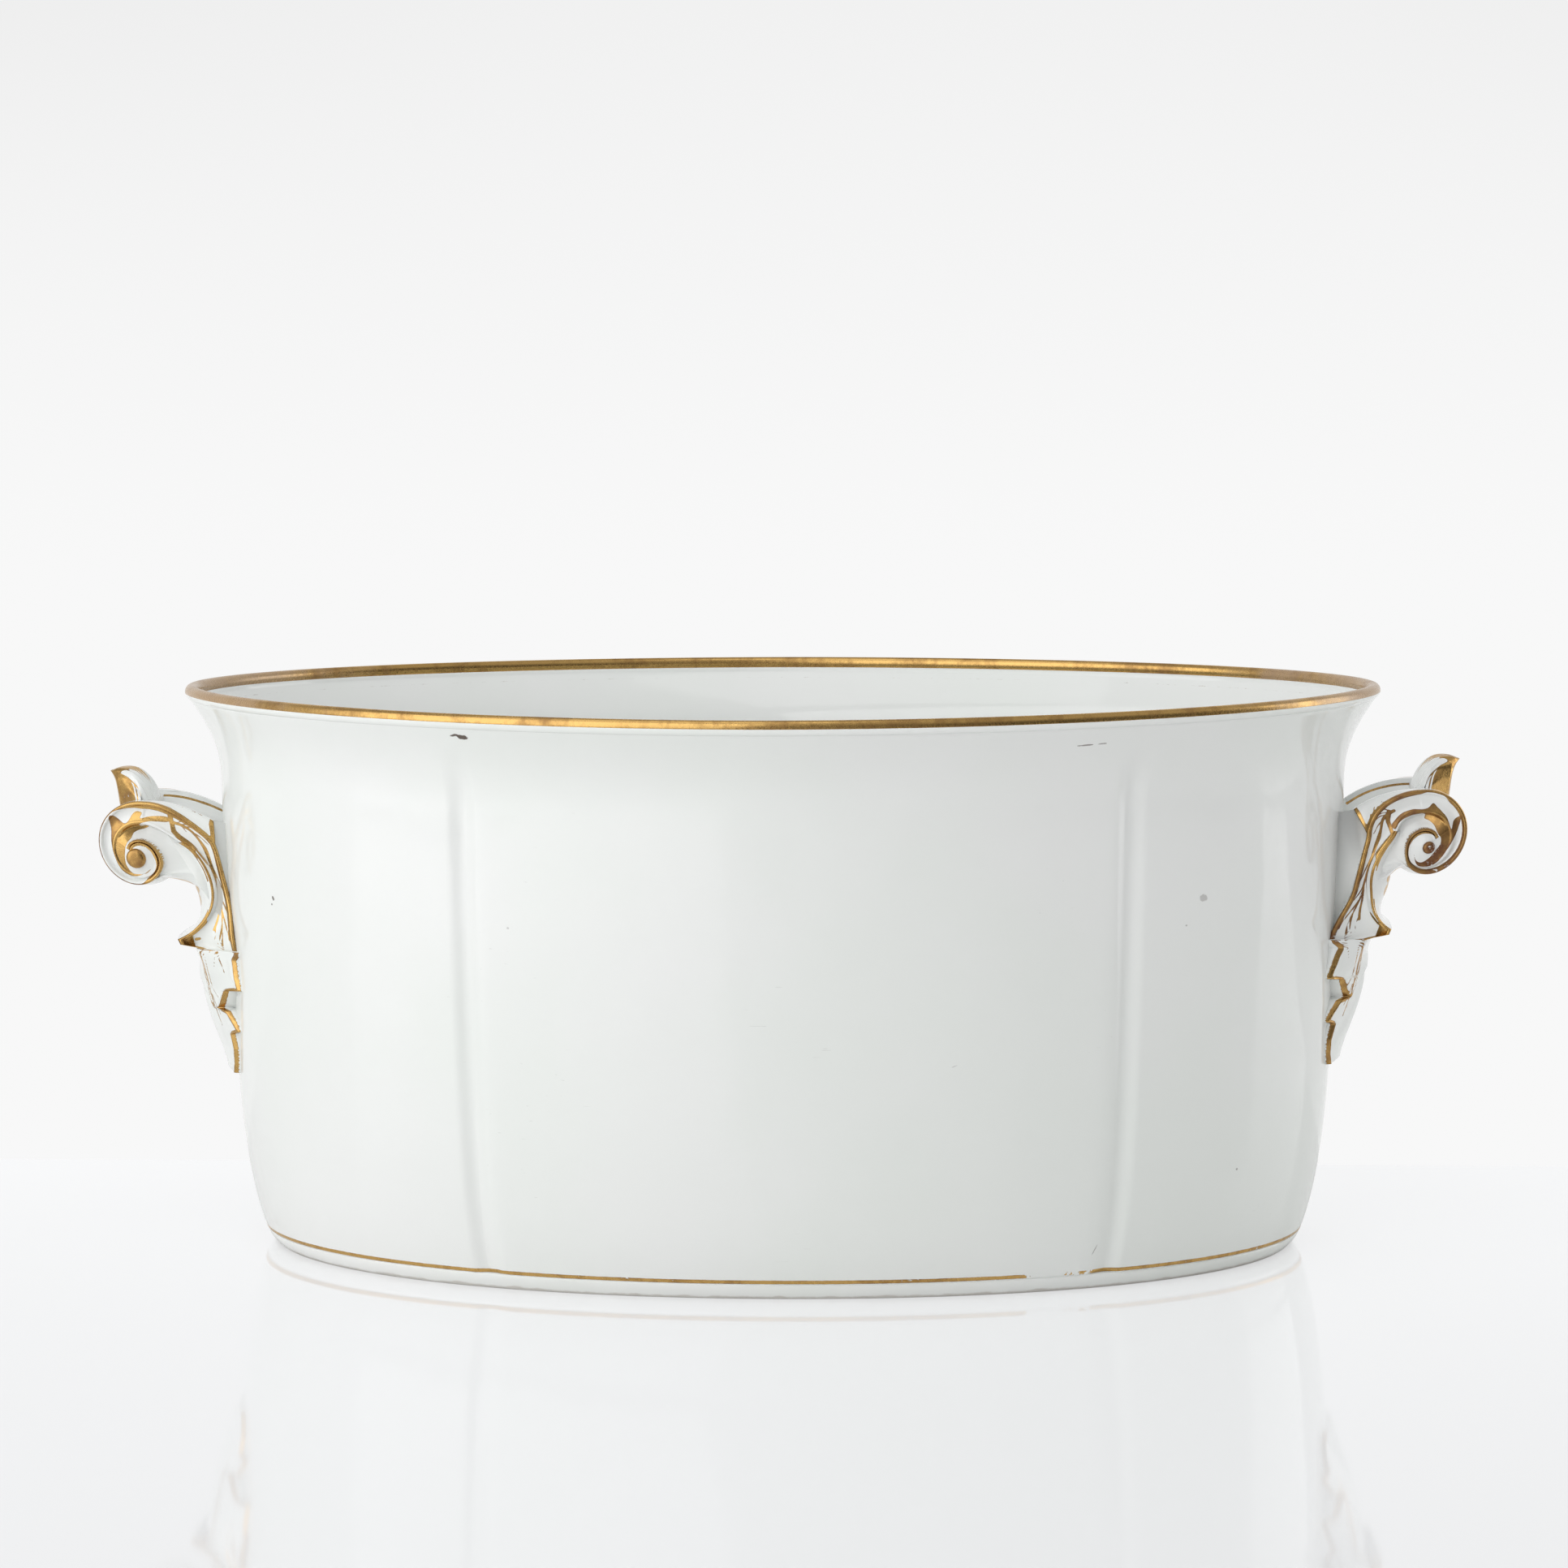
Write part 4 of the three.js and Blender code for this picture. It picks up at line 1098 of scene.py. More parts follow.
def grip_outline(form, y, count):
    """Section of the bolster at a place across it"""
    arc = []
    for i in range(count + 1):
        wound = lerp(0, 272, i / count)
        inset = lerp(form.GRIP_SINK, 1.4, smoothstep(wound, 20, 110))
        full = form.GRIP_BULGE * form.bulge(y) * smoothstep(wound, 90, 190)
        arc.append(form.volute(wound, inset - full))
    back = pair(arc[-1].x, arc[-1].y + 1)
    return [*arc, back, pair(arc[0].x - 1.5, arc[0].y), arc[0]]


def grip_mesh(form):
    """Bolster between the two volutes"""
    mesh = new_bmesh()
    rails = []
    for share_across in [i / 24 * 2 - 1 for i in range(25)]:
        y = share_across * GRIP_EDGE
        rails.append([Vector((spot.x, y, spot.y)) for spot in grip_outline(form, y, 72)])
    lay_grid(mesh, rails)
    close_up(mesh)
    return mesh


WALL_SEAT = 2.6


def bracket_mesh(form, tub, eye):
    """Strap, web and stem between the cheeks, as one body, with the swelling face of the stem"""
    mesh = new_bmesh()
    levels = [STRAP_EDGE * math.sin(math.pi / 2 * i / 20) for i in range(-20, 21)]

    def seat(y, q, depth):
        """Point inside the tub's wall, so far below its surface"""
        return pair(tub.reach(y, eye[1] + q) - eye[0] - depth, q)

    rails, gilds = [], []
    for y in levels:
        dip = form.CHANNEL_DEPTH * (1 - abs(y / form.HALF_STRAP) ** 3.4)
        floor = []
        for t in spaced(0, 1, 24) + [1.0]:
            spot = bezier(form.crest_line, t)
            floor.append(pair(spot.x, spot.y - dip))
        root = [seat(y, floor[0].y - 2.5, WALL_SEAT), seat(y, floor[0].y - 0.9, 1.5)]
        arch = [form.throat_arch(y, t) for t in spaced(0, 1, 20)]
        face = [form.stem_face(y, t) for t in spaced(0.5, 1, 20)] + [form.stem_face(y, 1)]
        under = [*form.spur_under, form.stem_end]
        foot = seat(y, form.stem_end.y, WALL_SEAT)
        outline = [*root, *floor, pair(form.top.x, 0), *arch, *face, *under, foot, root[0]]
        rails.append([Vector((spot.x, y, spot.y)) for spot in outline])
        lip_gold = 0.45 - abs(dip - 1.9)
        gilds.append([lip_gold if 2 <= i <= 26 else NO_GOLD for i in range(len(outline))])
    lay_grid(mesh, rails, gilds)
    close_up(mesh)

    front = new_bmesh()
    rails = []
    for y in [STEM_EDGE * i / 24 for i in range(-24, 25)]:
        face = [form.stem_face(y, t) for t in spaced(0.02, 1, 60)] + [form.stem_face(y, 1)]
        under = [spot.copy() for spot in form.spur_under]
        line = [bezier(form.stem_outer, t) for t in spaced(0.95, 0.02, 20)]
        back = [pair(spot.x - 2.2, spot.y) for spot in line]
        outline = [*face, *under, *back, face[0]]
        rails.append([Vector((spot.x, y, spot.y)) for spot in outline])
    lay_grid(front, rails)
    close_up(front)
    join_in(mesh, front)
    return mesh


LOBE_SHARE = 0.75
LOBE_NOTCH = 0.5


def lobe_reach(share_out):
    """How far up its curves the thumb leaf reaches, with a notch between its lobes"""
    middle, span = (0, LOBE_NOTCH) if share_out < LOBE_NOTCH else (LOBE_SHARE, LOBE_SHARE - LOBE_NOTCH)
    return 1 - 0.24 * (1 - max(0.0, 1 - ((share_out - middle) / span) ** 2) ** 0.5)


def bowed(middle, lobe, edge, share_out):
    """A point bowed between the leaf's middle, side lobe and edge"""
    square, at = share_out ** 2, LOBE_SHARE ** 2
    low = (lobe - middle - at * at * (edge - middle)) / (at - at * at)
    return middle + low * square + (edge - middle - low) * square * square


def thumb_mesh(form, sizes):
    """Leaf on the bolster: three fluted gilt lobes towards the outside, a white ribbed back"""
    mesh = new_bmesh()
    half = sizes.thumb_width / MM / 2
    root = form.top.y - form.CHANNEL_DEPTH - 5
    tip = pair(13.2, form.top.y + 9.0)
    tall = tip.y - root
    lobe_tip = pair(7.6, tip.y - 0.9)

    def curve(low, first, second, high):
        bows = [pair(x, root + risen * tall) for x, risen in (first, second)]
        return [pair(low, root), *bows, high]

    front = curve(8.8, (10.2, 0.37), (9.4, 0.71), tip), curve(4.4, (6.2, 0.37), (5.6, 0.68), lobe_tip)
    back = curve(-4.4, (-4.8, 0.45), (1.2, 1.35), tip), curve(-3.2, (-3.8, 0.4), (0, 0.97), lobe_tip)
    edge = curve(-0.5, (-0.8, 0.27), (-0.6, 0.53), pair(1.2, root + tall * 0.74))

    def spot_at(across, up, outer):
        share_out = abs(across)
        risen = up * lobe_reach(share_out)
        middle, lobe = front if outer else back
        spot = bowed(bezier(middle, risen), bezier(lobe, risen), bezier(edge, risen), share_out)
        flute = (1 + math.cos(2 * math.pi * share_out / LOBE_SHARE)) / 2
        if outer:
            hollow = flute * math.sin(math.pi * risen) * (1 + 0.5 * (share_out > LOBE_NOTCH))
            hollow -= 0.3 * math.exp(-((share_out - LOBE_NOTCH) / 0.07) ** 2) * smoothstep(up, 0.3, 0.9)
        else:
            hollow = 0.4 + risen * (1 - share_out) / 2
            hollow += 0.22 * math.cos(10 * math.pi * share_out) * smoothstep(risen, 0.2, 0.5)
        hollow *= 1 - 0.5 * smoothstep(up, 0.9, 1)
        narrow = lerp(19 / 27, 1, smoothstep(risen, 0, 0.45)) - 0.3 * smoothstep(risen, 0.6, 1)
        return Vector((min(spot.x - 1.1 * hollow, 13.75), across * half * narrow, spot.y))

    across_count, up_count = 96, 56
    rails, gilds = [], []
    for i in range(across_count + 1):
        across = 2 * i / across_count - 1
        share_out = abs(across)
        shares = [1 - (1 - j / up_count) ** 1.5 for j in range(up_count + 1)]
        outer = [spot_at(across, up, True) for up in shares]
        rear = [spot_at(across, up, False) for up in reversed(shares)]
        rails.append([*outer, outer[-1].lerp(rear[0], 0.5) + Vector((0.0, 0, 0.12)), *rear])
        ray = 0.5 * math.sin(2 * math.pi * 13 * share_out) if share_out > LOBE_NOTCH else 0.0
        gild_outer = []
        for up in shares:
            fringe = ray * (1 + smoothstep(up, 0.7, 0.2)) * smoothstep(share_out, 0.6, 0.9)
            gild_outer.append(min(1.5, (0.92 - share_out) * 9 + fringe))
        depth = 0.4 * max(0.0, 1 - (share_out / 0.48) ** 2) if share_out < LOBE_NOTCH else 0.0
        streak = 0.1 * math.sin(2 * math.pi * 16 * share_out)
        gild_rear = [(depth + streak * depth * 4 - (1 - up)) * 16 + 0.15 for up in reversed(shares)]
        gilds.append([*gild_outer, 0.3, *gild_rear])
    lay_grid(mesh, rails, gilds)
    close_up(mesh)
    return mesh


# Places down the acanthus leaf and its half width there, as a share of its fullest
LEAF_TEETH = (
    (0, 0.97), (0.02, 0.965), (0.065, 0.93), (0.11, 0.94), (0.2, 0.96), (0.305, 1.0), (0.325, 0.79),
    (0.44, 0.70), (0.475, 0.66), (0.49, 0.76), (0.56, 0.86), (0.645, 0.97), (0.675, 0.82), (0.8, 0.87),
    (0.92, 0.85), (1, 0.78),
)


def leaf_edge(down):
    """Half width of the acanthus leaf as a share of its fullest, down its length"""
    for (low, start), (high, end) in zip(LEAF_TEETH, LEAF_TEETH[1:]):
        if down <= high:
            return lerp(start, end, (down - low) / (high - low))
    return LEAF_TEETH[-1][1]


LEAF_SPREAD = {"left": 0.27, "right": 0.02}


def acanthus_mesh(form, tub, sizes, eye, side):
    """Leaf laid on the wall below the stem: two side lobes over a tongue with two ridges"""
    mesh = new_bmesh()
    half = sizes.acanthus_width / MM / 2
    length_down, crown, tip, ridge = 45.0, 10.6, 3.4, 9.0
    rows, columns = 150, 96

    def wide_at(down):
        return half * (1 + LEAF_SPREAD[side] * (1 - smoothstep(down, 0.25, 1)))

    def front_at(across, down):
        wide = wide_at(down)
        y = across * leaf_edge(down) * wide
        reach_down = length_down - 2.5 * (1 - abs(across)) * smoothstep(down, 0.6, 1)
        q = form.stem_foot.y + 0.6 - (reach_down + 0.6) * down
        taper = lerp(crown, tip, smoothstep(down, 0.3, 1.1)) + 2 * (1 - smoothstep(down, 0, 0.15))
        flank = wide - ridge + 0.6
        fall = clamp((abs(y) - ridge) / flank)
        shelf = smoothstep(fall, (form.half_width - 1 - ridge) / flank, 1)
        dropped = lerp(shelf, fall ** 1.15, smoothstep(down, 0.04, 0.36))
        valley = 3.0 * smoothstep(down, 0.05, 0.4) * (1 - smoothstep(abs(y), 0, ridge))
        height = taper * (1 - dropped) - valley * taper / crown
        crease = lerp(4, 16.5, smoothstep(down, 0.06, 0.52))
        over = smoothstep(abs(y) - crease, -0.35, 0.35) * (1 - smoothstep(down, 0.475, 0.495))
        height += 0.9 * over * smoothstep(down, 0.02, 0.2)
        from_edge = (1 - abs(across)) * leaf_edge(down) * wide
        height += 0.55 * rounded(clamp(from_edge / 1.5)) * (from_edge < 1.5)
        height = max(height, 1.3) * smoothstep(from_edge, -0.6, 0.25)
        x = tub.reach(y, eye[1] + q) - eye[0] + max(height, -0.2)
        lobe_tip = 0.75 - math.hypot(abs(y) - 16, (down - 0.465) * 45) * 0.55
        return Vector((x, y, q)), lobe_tip

    shares = [i / columns * 2 - 1 for i in range(columns + 1)]
    shares = [math.copysign(1 - (1 - abs(each)) ** 1.35, each) for each in shares]
    downs = [i / rows for i in range(rows + 1)]
    grid = [[front_at(across, down) for down in downs] for across in shares]
    rails = [[spot for spot, _ in row] for row in grid]
    edge = np.array([
        start.lerp(end, i / 5) for start, end in zip(rails[-1], rails[-1][1:]) for i in range(5)
    ])
    gilds = []
    for row in grid:
        spots = np.array([(spot.x, abs(spot.y), spot.z) for spot, _ in row])
        away = np.linalg.norm(spots[:, None] - edge[None], axis=2).min(axis=1)
        gilds.append([max(min(0.8, 1.3 - near), tip_gold) for near, (_, tip_gold) in zip(away, row)])
    lay_grid(mesh, rails, gilds)
    backs = [
        [Vector((tub.reach(spot.y, eye[1] + spot.z) - eye[0] - WALL_SEAT, spot.y, spot.z)) for spot in row]
        for row in rails
    ]
    lay_grid(mesh, backs)

    def around(sheet):
        return [*sheet[0][::-1], *[row[0] for row in sheet], *sheet[-1], *[row[-1] for row in sheet][::-1]]

    ring, buried = around(rails), around(backs)
    sunk = [0.8 - (high - low).length for high, low in zip(ring, buried)]
    lay_grid(mesh, [ring, buried], [[0.8] * len(ring), sunk])
    close_up(mesh)
    return mesh


# Painted strokes on the side of a handle, from the eye of the volute: p outwards and q upwards.
# Each stroke has its points, its width where it starts and its width where it ends.

SPRAY = [
    ([(-12.4, 12.8), (-15.3, 11.5), (-17.6, 9.7), (-19.2, 6.8), (-20.6, 3.0), (-22.9, -3.0), (-25.2, -10.5),
      (-27.0, -19.7), (-28.1, -26.0), (-28.9, -32.0), (-30.2, -37.0), (-31.7, -40.5)], 1.1, 0.3),
    ([(-19.2, 6.8), (-21.6, 2.2), (-23.4, -3.6), (-25.8, -9.0), (-28.0, -13.8)], 0.8, 0.25),
    ([(-25.2, -10.5), (-26.6, -15.0), (-28.9, -19.2)], 0.6, 0.35),
    ([(-26.9, -19.0), (-29.0, -23.6), (-30.6, -27.0), (-31.2, -29.2)], 0.6, 0.3),
    ([(-25.8, -13.0), (-26.0, -18.0), (-25.6, -22.7), (-24.8, -26.0)], 0.35, 1.0),
    ([(-25.3, -23.4), (-25.5, -27.0), (-25.4, -30.6)], 0.3, 0.25),
    ([(-27.7, -23.7), (-27.4, -28.0), (-26.1, -33.8)], 0.5, 0.3),
    ([(-28.3, -27.6), (-28.1, -34.5), (-27.6, -39.6)], 0.4, 0.25),
    ([(-29.3, -33.0), (-30.4, -37.0), (-31.9, -41.8)], 0.45, 0.3),
    ([(-14.0, 12.3), (-15.6, 13.3), (-16.6, 13.4)], 0.5, 0.25),
    ([(-15.0, 11.8), (-16.8, 12.0), (-18.6, 11.4)], 0.4, 0.22),
    ([(-16.0, 11.2), (-18.2, 10.8), (-20.4, 9.4)], 0.4, 0.22),
    ([(-15.2, 11.2), (-15.6, 10.0), (-16.0, 9.2)], 0.4, 0.22),
    ([(-17.4, 9.6), (-20.0, 7.6), (-22.4, 4.6)], 0.45, 0.22),
]
LEAF_VEINS = [
    ([(-22.6, -31.2), (-24.2, -36.5), (-24.9, -42.0), (-25.9, -47.2), (-28.2, -50.6)], 0.45, 0.3),
    ([(-22.3, -34.0), (-23.4, -41.0), (-24.6, -48.0), (-26.8, -55.6), (-29.0, -61.4)], 0.7, 0.25),
    ([(-22.4, -37.0), (-23.0, -44.0), (-24.6, -51.5), (-25.6, -54.6)], 0.4, 0.22),
    ([(-25.6, -50.0), (-27.6, -54.8), (-28.8, -57.6)], 0.35, 0.2),
]
CROSS_BANDS = {
    "left": [
        ([(-11.7, 17.3), (-12.0, 14.2), (-12.2, 9.6)], 1.8, 1.4),
        ([(-12.2, 9.6), (-13.6, 7.4), (-16.2, 4.4), (-18.3, 1.2), (-19.6, -1.5)], 1.4, 1.9),
    ],
    "right": [([(-14.5, 12.3), (-15.9, 9.5), (-16.0, 7.8), (-15.8, 5.4), (-15.5, 3.0)], 1.7, 1.6)],
}
LEFT_LEAF = [
    (8.95, 14.2), (8.4, 10.35), (8.25, 5.4), (6.8, 0.2), (4.7, -3.7), (0.9, -5.6), (-2.6, -4.9), (-5.1, -3.0),
    (-3.5, -4.6), (-0.5, -4.9), (1.6, -4.2), (3.3, -1.6), (3.6, 1.9), (3.0, 5.4), (1.6, 7.2), (0.5, 9.3),
    (-3.5, 10.6), (-3.9, 11.5), (-1.2, 11.2), (-1.9, 12.4), (-5.4, 13.0), (-10.4, 12.7), (-10.4, 14.4),
    (-5.4, 14.7), (-1.6, 14.0), (-2.1, 15.8), (-0.5, 16.4), (0.9, 15.6), (3.5, 12.3), (7.5, 14.9),
]
RIGHT_LEAF = [
    (2.2, 14.3), (3.6, 13.1), (5.0, 11.7), (6.7, 9.6), (7.7, 6.9), (8.3, 5.8), (8.9, 8.3), (10.1, 9.6),
    (11.4, 9.8), (10.5, 5.8), (9.5, 3.4), (7.4, -0.3),
    (5.0, -3.8), (2.6, -6.0), (-0.2, -6.9), (-2.6, -6.6), (-3.6, -5.2),
    (-4.1, -2.8), (-3.3, -4.8), (-1.5, -5.4), (0.9, -3.8), (2.9, -1.4), (4.5, 0.7), (4.7, 2.8), (3.6, 4.5),
    (2.6, 6.9), (0.9, 8.4), (-0.5, 9.1), (-0.3, 10.5), (-2.9, 10.7), (-6.4, 9.9), (-9.8, 8.1), (-12.5, 5.7),
    (-13.6, 6.9), (-11.2, 8.9), (-8.1, 11.1), (-4.6, 12.3), (-1.2, 12.4), (0.7, 13.0),
]
LEAF_STRETCH = {"left": (1.0655, 0.36, -0.67), "right": (1.065, -0.64, 0.26)}
RIGHT_SCROLL = [
    ([(-22.2, 11.4), (-21.2, 11.3), (-20.1, 12.2), (-19.3, 13.9), (-17.6, 14.3), (-16.2, 14.9), (-15.6, 15.8),
      (-16.5, 16.0)], 0.5, 0.3),
    ([(-16.0, 14.4), (-14.9, 15.3), (-13.6, 16.4), (-12.2, 16.7)], 0.45, 0.3),
    ([(-18.9, 12.4), (-17.6, 13.0), (-17.0, 12.8)], 0.7, 0.4),
    ([(-11.4, 17.0), (-10.4, 17.3), (-9.6, 17.2)], 0.4, 0.25),
]
LEFT_SCROLL = [
    ([(-16.0, 18.0), (-18.0, 18.0), (-19.8, 17.0), (-21.6, 16.0), (-23.0, 14.5), (-25.0, 13.2)], 0.35, 0.35),
    ([(-19.6, 17.4), (-20.8, 15.9), (-22.6, 15.2), (-24.2, 13.6)], 0.45, 0.3),
    ([(-19.0, 16.0), (-19.9, 17.3)], 0.3, 0.25),
]
STRUT = [([(-25.8, 12.6), (-25.4, 9.0), (-24.7, 5.0)], 2.2, 1.9)]
SPUR_DOTS = {
    "left": [([(-18.4, -29.6), (-19.6, -29.4)], 1.2, 1.0)],
    "right": [([(-15.6, -29.9), (-16.6, -29.8)], 1.2, 1.1)],
}
FACE_DOTS = [(-6.6, 1.0), (-9.9, 1.3), (-12.8, 1.5), (-16.9, 2.2)]


def painted_leaf(flat, side):
    """The gilt leaf in the volute, drawn a little small and stretched into its place"""
    stretch, out, up = LEAF_STRETCH[side]
    outline = LEFT_LEAF if side == "left" else RIGHT_LEAF
    return area((flat - (out, up)) / stretch, outline) * stretch


def cheek_gilding(side):
    """Painted gold of a cheek, from its points; the strokes lie on its outer face"""
    scroll = LEFT_SCROLL if side == "left" else RIGHT_SCROLL

    def gild(spots):
        flat = spots[:, [0, 2]]
        across = np.abs(spots[:, 1])
        lines = strokes(flat, [*SPRAY, *CROSS_BANDS[side], *scroll, *STRUT, *SPUR_DOTS[side]])
        painted = np.maximum(lines, painted_leaf(flat, side))
        return np.where(across > 18.2, painted, np.minimum(painted, (across - 17.9) * 2))

    return gild


def cheek_tone(side):
    """How far the painted gold of a cheek has browned, more than the rest of its gold"""

    def tone(spots):
        if side == "left":
            return np.zeros(len(spots))
        return 0.42 * smooth(painted_leaf(spots[:, [0, 2]], side), -0.4, 0.1)

    return tone


def bracket_gilding(form):
    """Dots down the swelling face of the stem and a thin line beside them"""

    def gild(spots):
        best = np.full(len(spots), NO_GOLD)
        front = spots[:, 0] > bezier(form.stem_outer, 0.4).x
        for q, tall in FACE_DOTS:
            away = np.hypot((spots[:, 2] - q) / tall, (np.abs(spots[:, 1]) - 9.5) / 3.0)
            best = np.maximum(best, np.where(front, (1 - away) * tall, NO_GOLD))
        line = 0.18 - np.abs(np.abs(spots[:, 1]) - 17.5 - spots[:, 2] * 0.14)
        inside = (spots[:, 2] < 3) & (spots[:, 2] > -12) & front
        edge = 0.7 - (21.9 - np.abs(spots[:, 1]))
        return np.maximum(best, np.where(inside, np.maximum(line, edge), np.where(front, edge, NO_GOLD)))

    return gild


def leaf_gilding(spots):
    return strokes(spots[:, [0, 2]], SPRAY[:1] + SPRAY[6:9] + LEAF_VEINS)


STEM_LEAN = {"left": (-3.6, -2.2, 0.27), "right": (3.6, 0.0, 0.04)}


def smooth(values, low, high):
    t = np.clip((values - low) / (high - low), 0, 1)
    return t * t * (3 - 2 * t)


def leant(spots, side):
    """The left stem leans to the wall and the right one away from it, and their feet flare on the wall"""
    lean, foot_lean, flare = STEM_LEAN[side]
    out, up = spots[:, 0], spots[:, 2]
    along = foot_lean + (lean - foot_lean) * smooth(up, -31.5, -15)
    moved = spots.copy()
    moved[:, 0] += along * (1 - smooth(up, 2, 17)) * (1 - smooth(out, -17, -5.7))
    moved[:, 1] *= 1 + flare * (1 - smooth(up, -33, -8)) * (1 - smooth(out, -33, -20))
    return moved


def handle_eye(tub, form, sizes, side):
    """Reach and height of the eye of a handle's volute"""
    level = sizes.handle_offset / MM * (-1 if side == "left" else 1)
    z = tub.height - form.EYE_DROP + level
    return tub.half_length + tub.swell_at(z) + form.EYE_OUT, z


def handle_place(eye, side, flip=False, leaning=False):
    """Moves points from the handle's own axes to the tub, mirrored for the left and for the front"""
    sign = -1 if side == "left" else 1

    def place(spots):
        spots = leant(spots, side) if leaning else spots
        moved = np.empty_like(spots)
        moved[:, 0] = sign * (eye[0] + spots[:, 0])
        moved[:, 1] = (-1 if flip else 1) * spots[:, 1]
        moved[:, 2] = eye[1] + spots[:, 2]
        return moved, (sign < 0) != flip

    return place


# Operators


class COOLER_OT_tub(bpy.types.Operator):
    """Model the glazed wall, the floor, the foot ring and the gilded rim"""
    bl_idname = "cooler.tub"
    bl_label = "Tub"

    def execute(self, context):
        sizes = context.scene.cooler_sizes
        form = TubForm(sizes)
        wall = spin_oval(form, wall_profile(form, sizes.gold_line / MM), grooved=True)
        finish = porcelain_material("tub_glaze", 0.25, 0.34, 0.25, foot_line_wear, marks=wall_marks)
        finish_piece(wall, "glazed_wall", ["tub_wall"], finish)
        floor = spin_oval(form, floor_profile(form))
        finish = porcelain_material("floor_glaze")
        finish_piece(floor, "glazed_floor", ["tub_floor"], finish)
        foot = spin_oval(form, foot_profile(form))
        finish = porcelain_material("foot_glaze", soil=foot_soil)
        finish_piece(foot, "ground_foot", ["foot_ring"], finish)
        rim = spin_oval(form, roll_profile(form))
        finish = porcelain_material("rim_gilding", 0.08, 0.4, 0.5, faded=rim_fading)
        finish_piece(rim, "gilded_rim", ["rim_roll"], finish)
        return {"FINISHED"}


# How far the gold of each handle is rubbed, and how far it has browned
HANDLE_WEAR = {"left": (0.16, 0.32), "right": (0.2, 0.5)}
LEAF_WEAR = {"left": (0.15, 0.35), "right": (0.15, 0.55)}


class COOLER_OT_handles(bpy.types.Operator):
    """Model the cheeks, bolster, strap and stem of both scroll handles"""
    bl_idname = "cooler.handles"
    bl_label = "Scroll handles"

    def execute(self, context):
        sizes = context.scene.cooler_sizes
        form = ScrollForm(sizes)
        tub = TubForm(sizes)
        for side in ("left", "right"):
            eye = handle_eye(tub, form, sizes, side)
            finish = porcelain_material(f"{side}_handle_glaze", *HANDLE_WEAR[side], 0.3)
            for face in ("front", "rear"):
                place = handle_place(eye, side, face == "front", leaning=True)
                mesh = cheek_mesh(form, side)
                join_in(mesh, eye_mesh(form, side))
                finish_piece(
                    mesh, f"{side}_{face}_cheek", [f"{side}_{face}_scroll"], finish, place,
                    cheek_gilding(side), cheek_tone(side),
                )
            finish_piece(
                grip_mesh(form), f"{side}_bolster", [f"{side}_grip_roll"], finish,
                handle_place(eye, side),
            )
            finish_piece(
                bracket_mesh(form, tub, eye), f"{side}_strap_and_stem",
                [f"{side}_bracket"], finish, handle_place(eye, side, leaning=True), bracket_gilding(form),
            )
        return {"FINISHED"}


class COOLER_OT_leaves(bpy.types.Operator):
    """Model the thumb leaves and the acanthus leaves"""
    bl_idname = "cooler.leaves"
    bl_label = "Leaves"

    def execute(self, context):
        sizes = context.scene.cooler_sizes
        form = ScrollForm(sizes)
        tub = TubForm(sizes)
        for side in ("left", "right"):
            eye = handle_eye(tub, form, sizes, side)
            place = handle_place(eye, side)
            finish = porcelain_material(f"{side}_leaf_glaze", *LEAF_WEAR[side], 0.4)
            leaf = thumb_mesh(form, sizes)
            finish_piece(leaf, f"{side}_leaf_rest", [f"{side}_thumb_leaf"], finish, place)
            finish_piece(
                acanthus_mesh(form, tub, sizes, eye, side), f"{side}_acanthus",
                [f"{side}_acanthus_leaf"], finish, place, leaf_gilding,
            )
        return {"FINISHED"}


WHITE = (1.0, 1.0, 1.0, 1.0)


TABLE_WIDTH = 3.2
TABLE_FRONT = -1.3


def table_material():
    """Glossy white table whose own whiteness hardly follows the lamps where the camera sees it"""
    material, sheet = new_material("pale_table")
    seen = sheet.add("ShaderNodeLightPath").outputs["Is Camera Ray"]
    sheet.surface(sheet.add("ShaderNodeBsdfPrincipled", {
        "Base Color": sheet.mix(seen, (0.92, 0.92, 0.92, 1), (0.27, 0.275, 0.28, 1)), "Roughness": 0.05,
        "IOR": 1.42, "Emission Color": (0.985, 0.99, 1.0, 1), "Emission Strength": sheet.times(seen, 0.5),
    }))
    return material


def sweep_material():
    """White sweep that glows, with painted shade that makes it a little darker towards the top and the sides
    """
    material, sheet = new_material("white_sweep")
    axes = sheet.axes(sheet.add("ShaderNodeTexCoord").outputs["Object"])
    low = sheet.ramp(axes["Z"], 0.1, 0.4, 0.938, 0.913)
    high = sheet.ramp(axes["Z"], 0.3, 0.75, 0.0, 0.055)
    side = sheet.ramp(sheet.maths("ABSOLUTE", axes["X"]), 0.1, 0.9, 0.0, 0.45)
    # Painted shade: the glow falls off towards the top and towards the sides
    shade = sheet.minus(low, sheet.times(high, sheet.plus(0.75, side)))
    sheet.surface(sheet.add("ShaderNodeEmission", {"Strength": shade, "Color": WHITE}))
    return material


def sweep_mesh():
    """Ground behind the table that curves up into a wall, in metres"""
    mesh = bmesh.new()
    path = [(0.0, -0.02), (1.4, -0.02)]
    path += [(1.4 + math.sin(a), 0.98 - math.cos(a)) for a in [math.pi / 2 * i / 16 for i in range(1, 17)]]
    path.append((2.4, 3.2))
    grid = bmesh.ops.create_grid(mesh, x_segments=1, y_segments=len(path) - 1, size=0.5)
    for vertex in grid["verts"]:
        y, z = path[round((vertex.co.y + 0.5) * (len(path) - 1))]
        vertex.co = (vertex.co.x * 5, y, z)
    for face in mesh.faces:
        face.smooth = True
    return mesh


def stage_piece(name, mesh, material):
    data = bpy.data.meshes.new(name)
    mesh.to_mesh(data)
    mesh.free()
    piece = bpy.data.objects.new(name, data)
    bpy.context.scene.collection.objects.link(piece)
    data.materials.append(material)


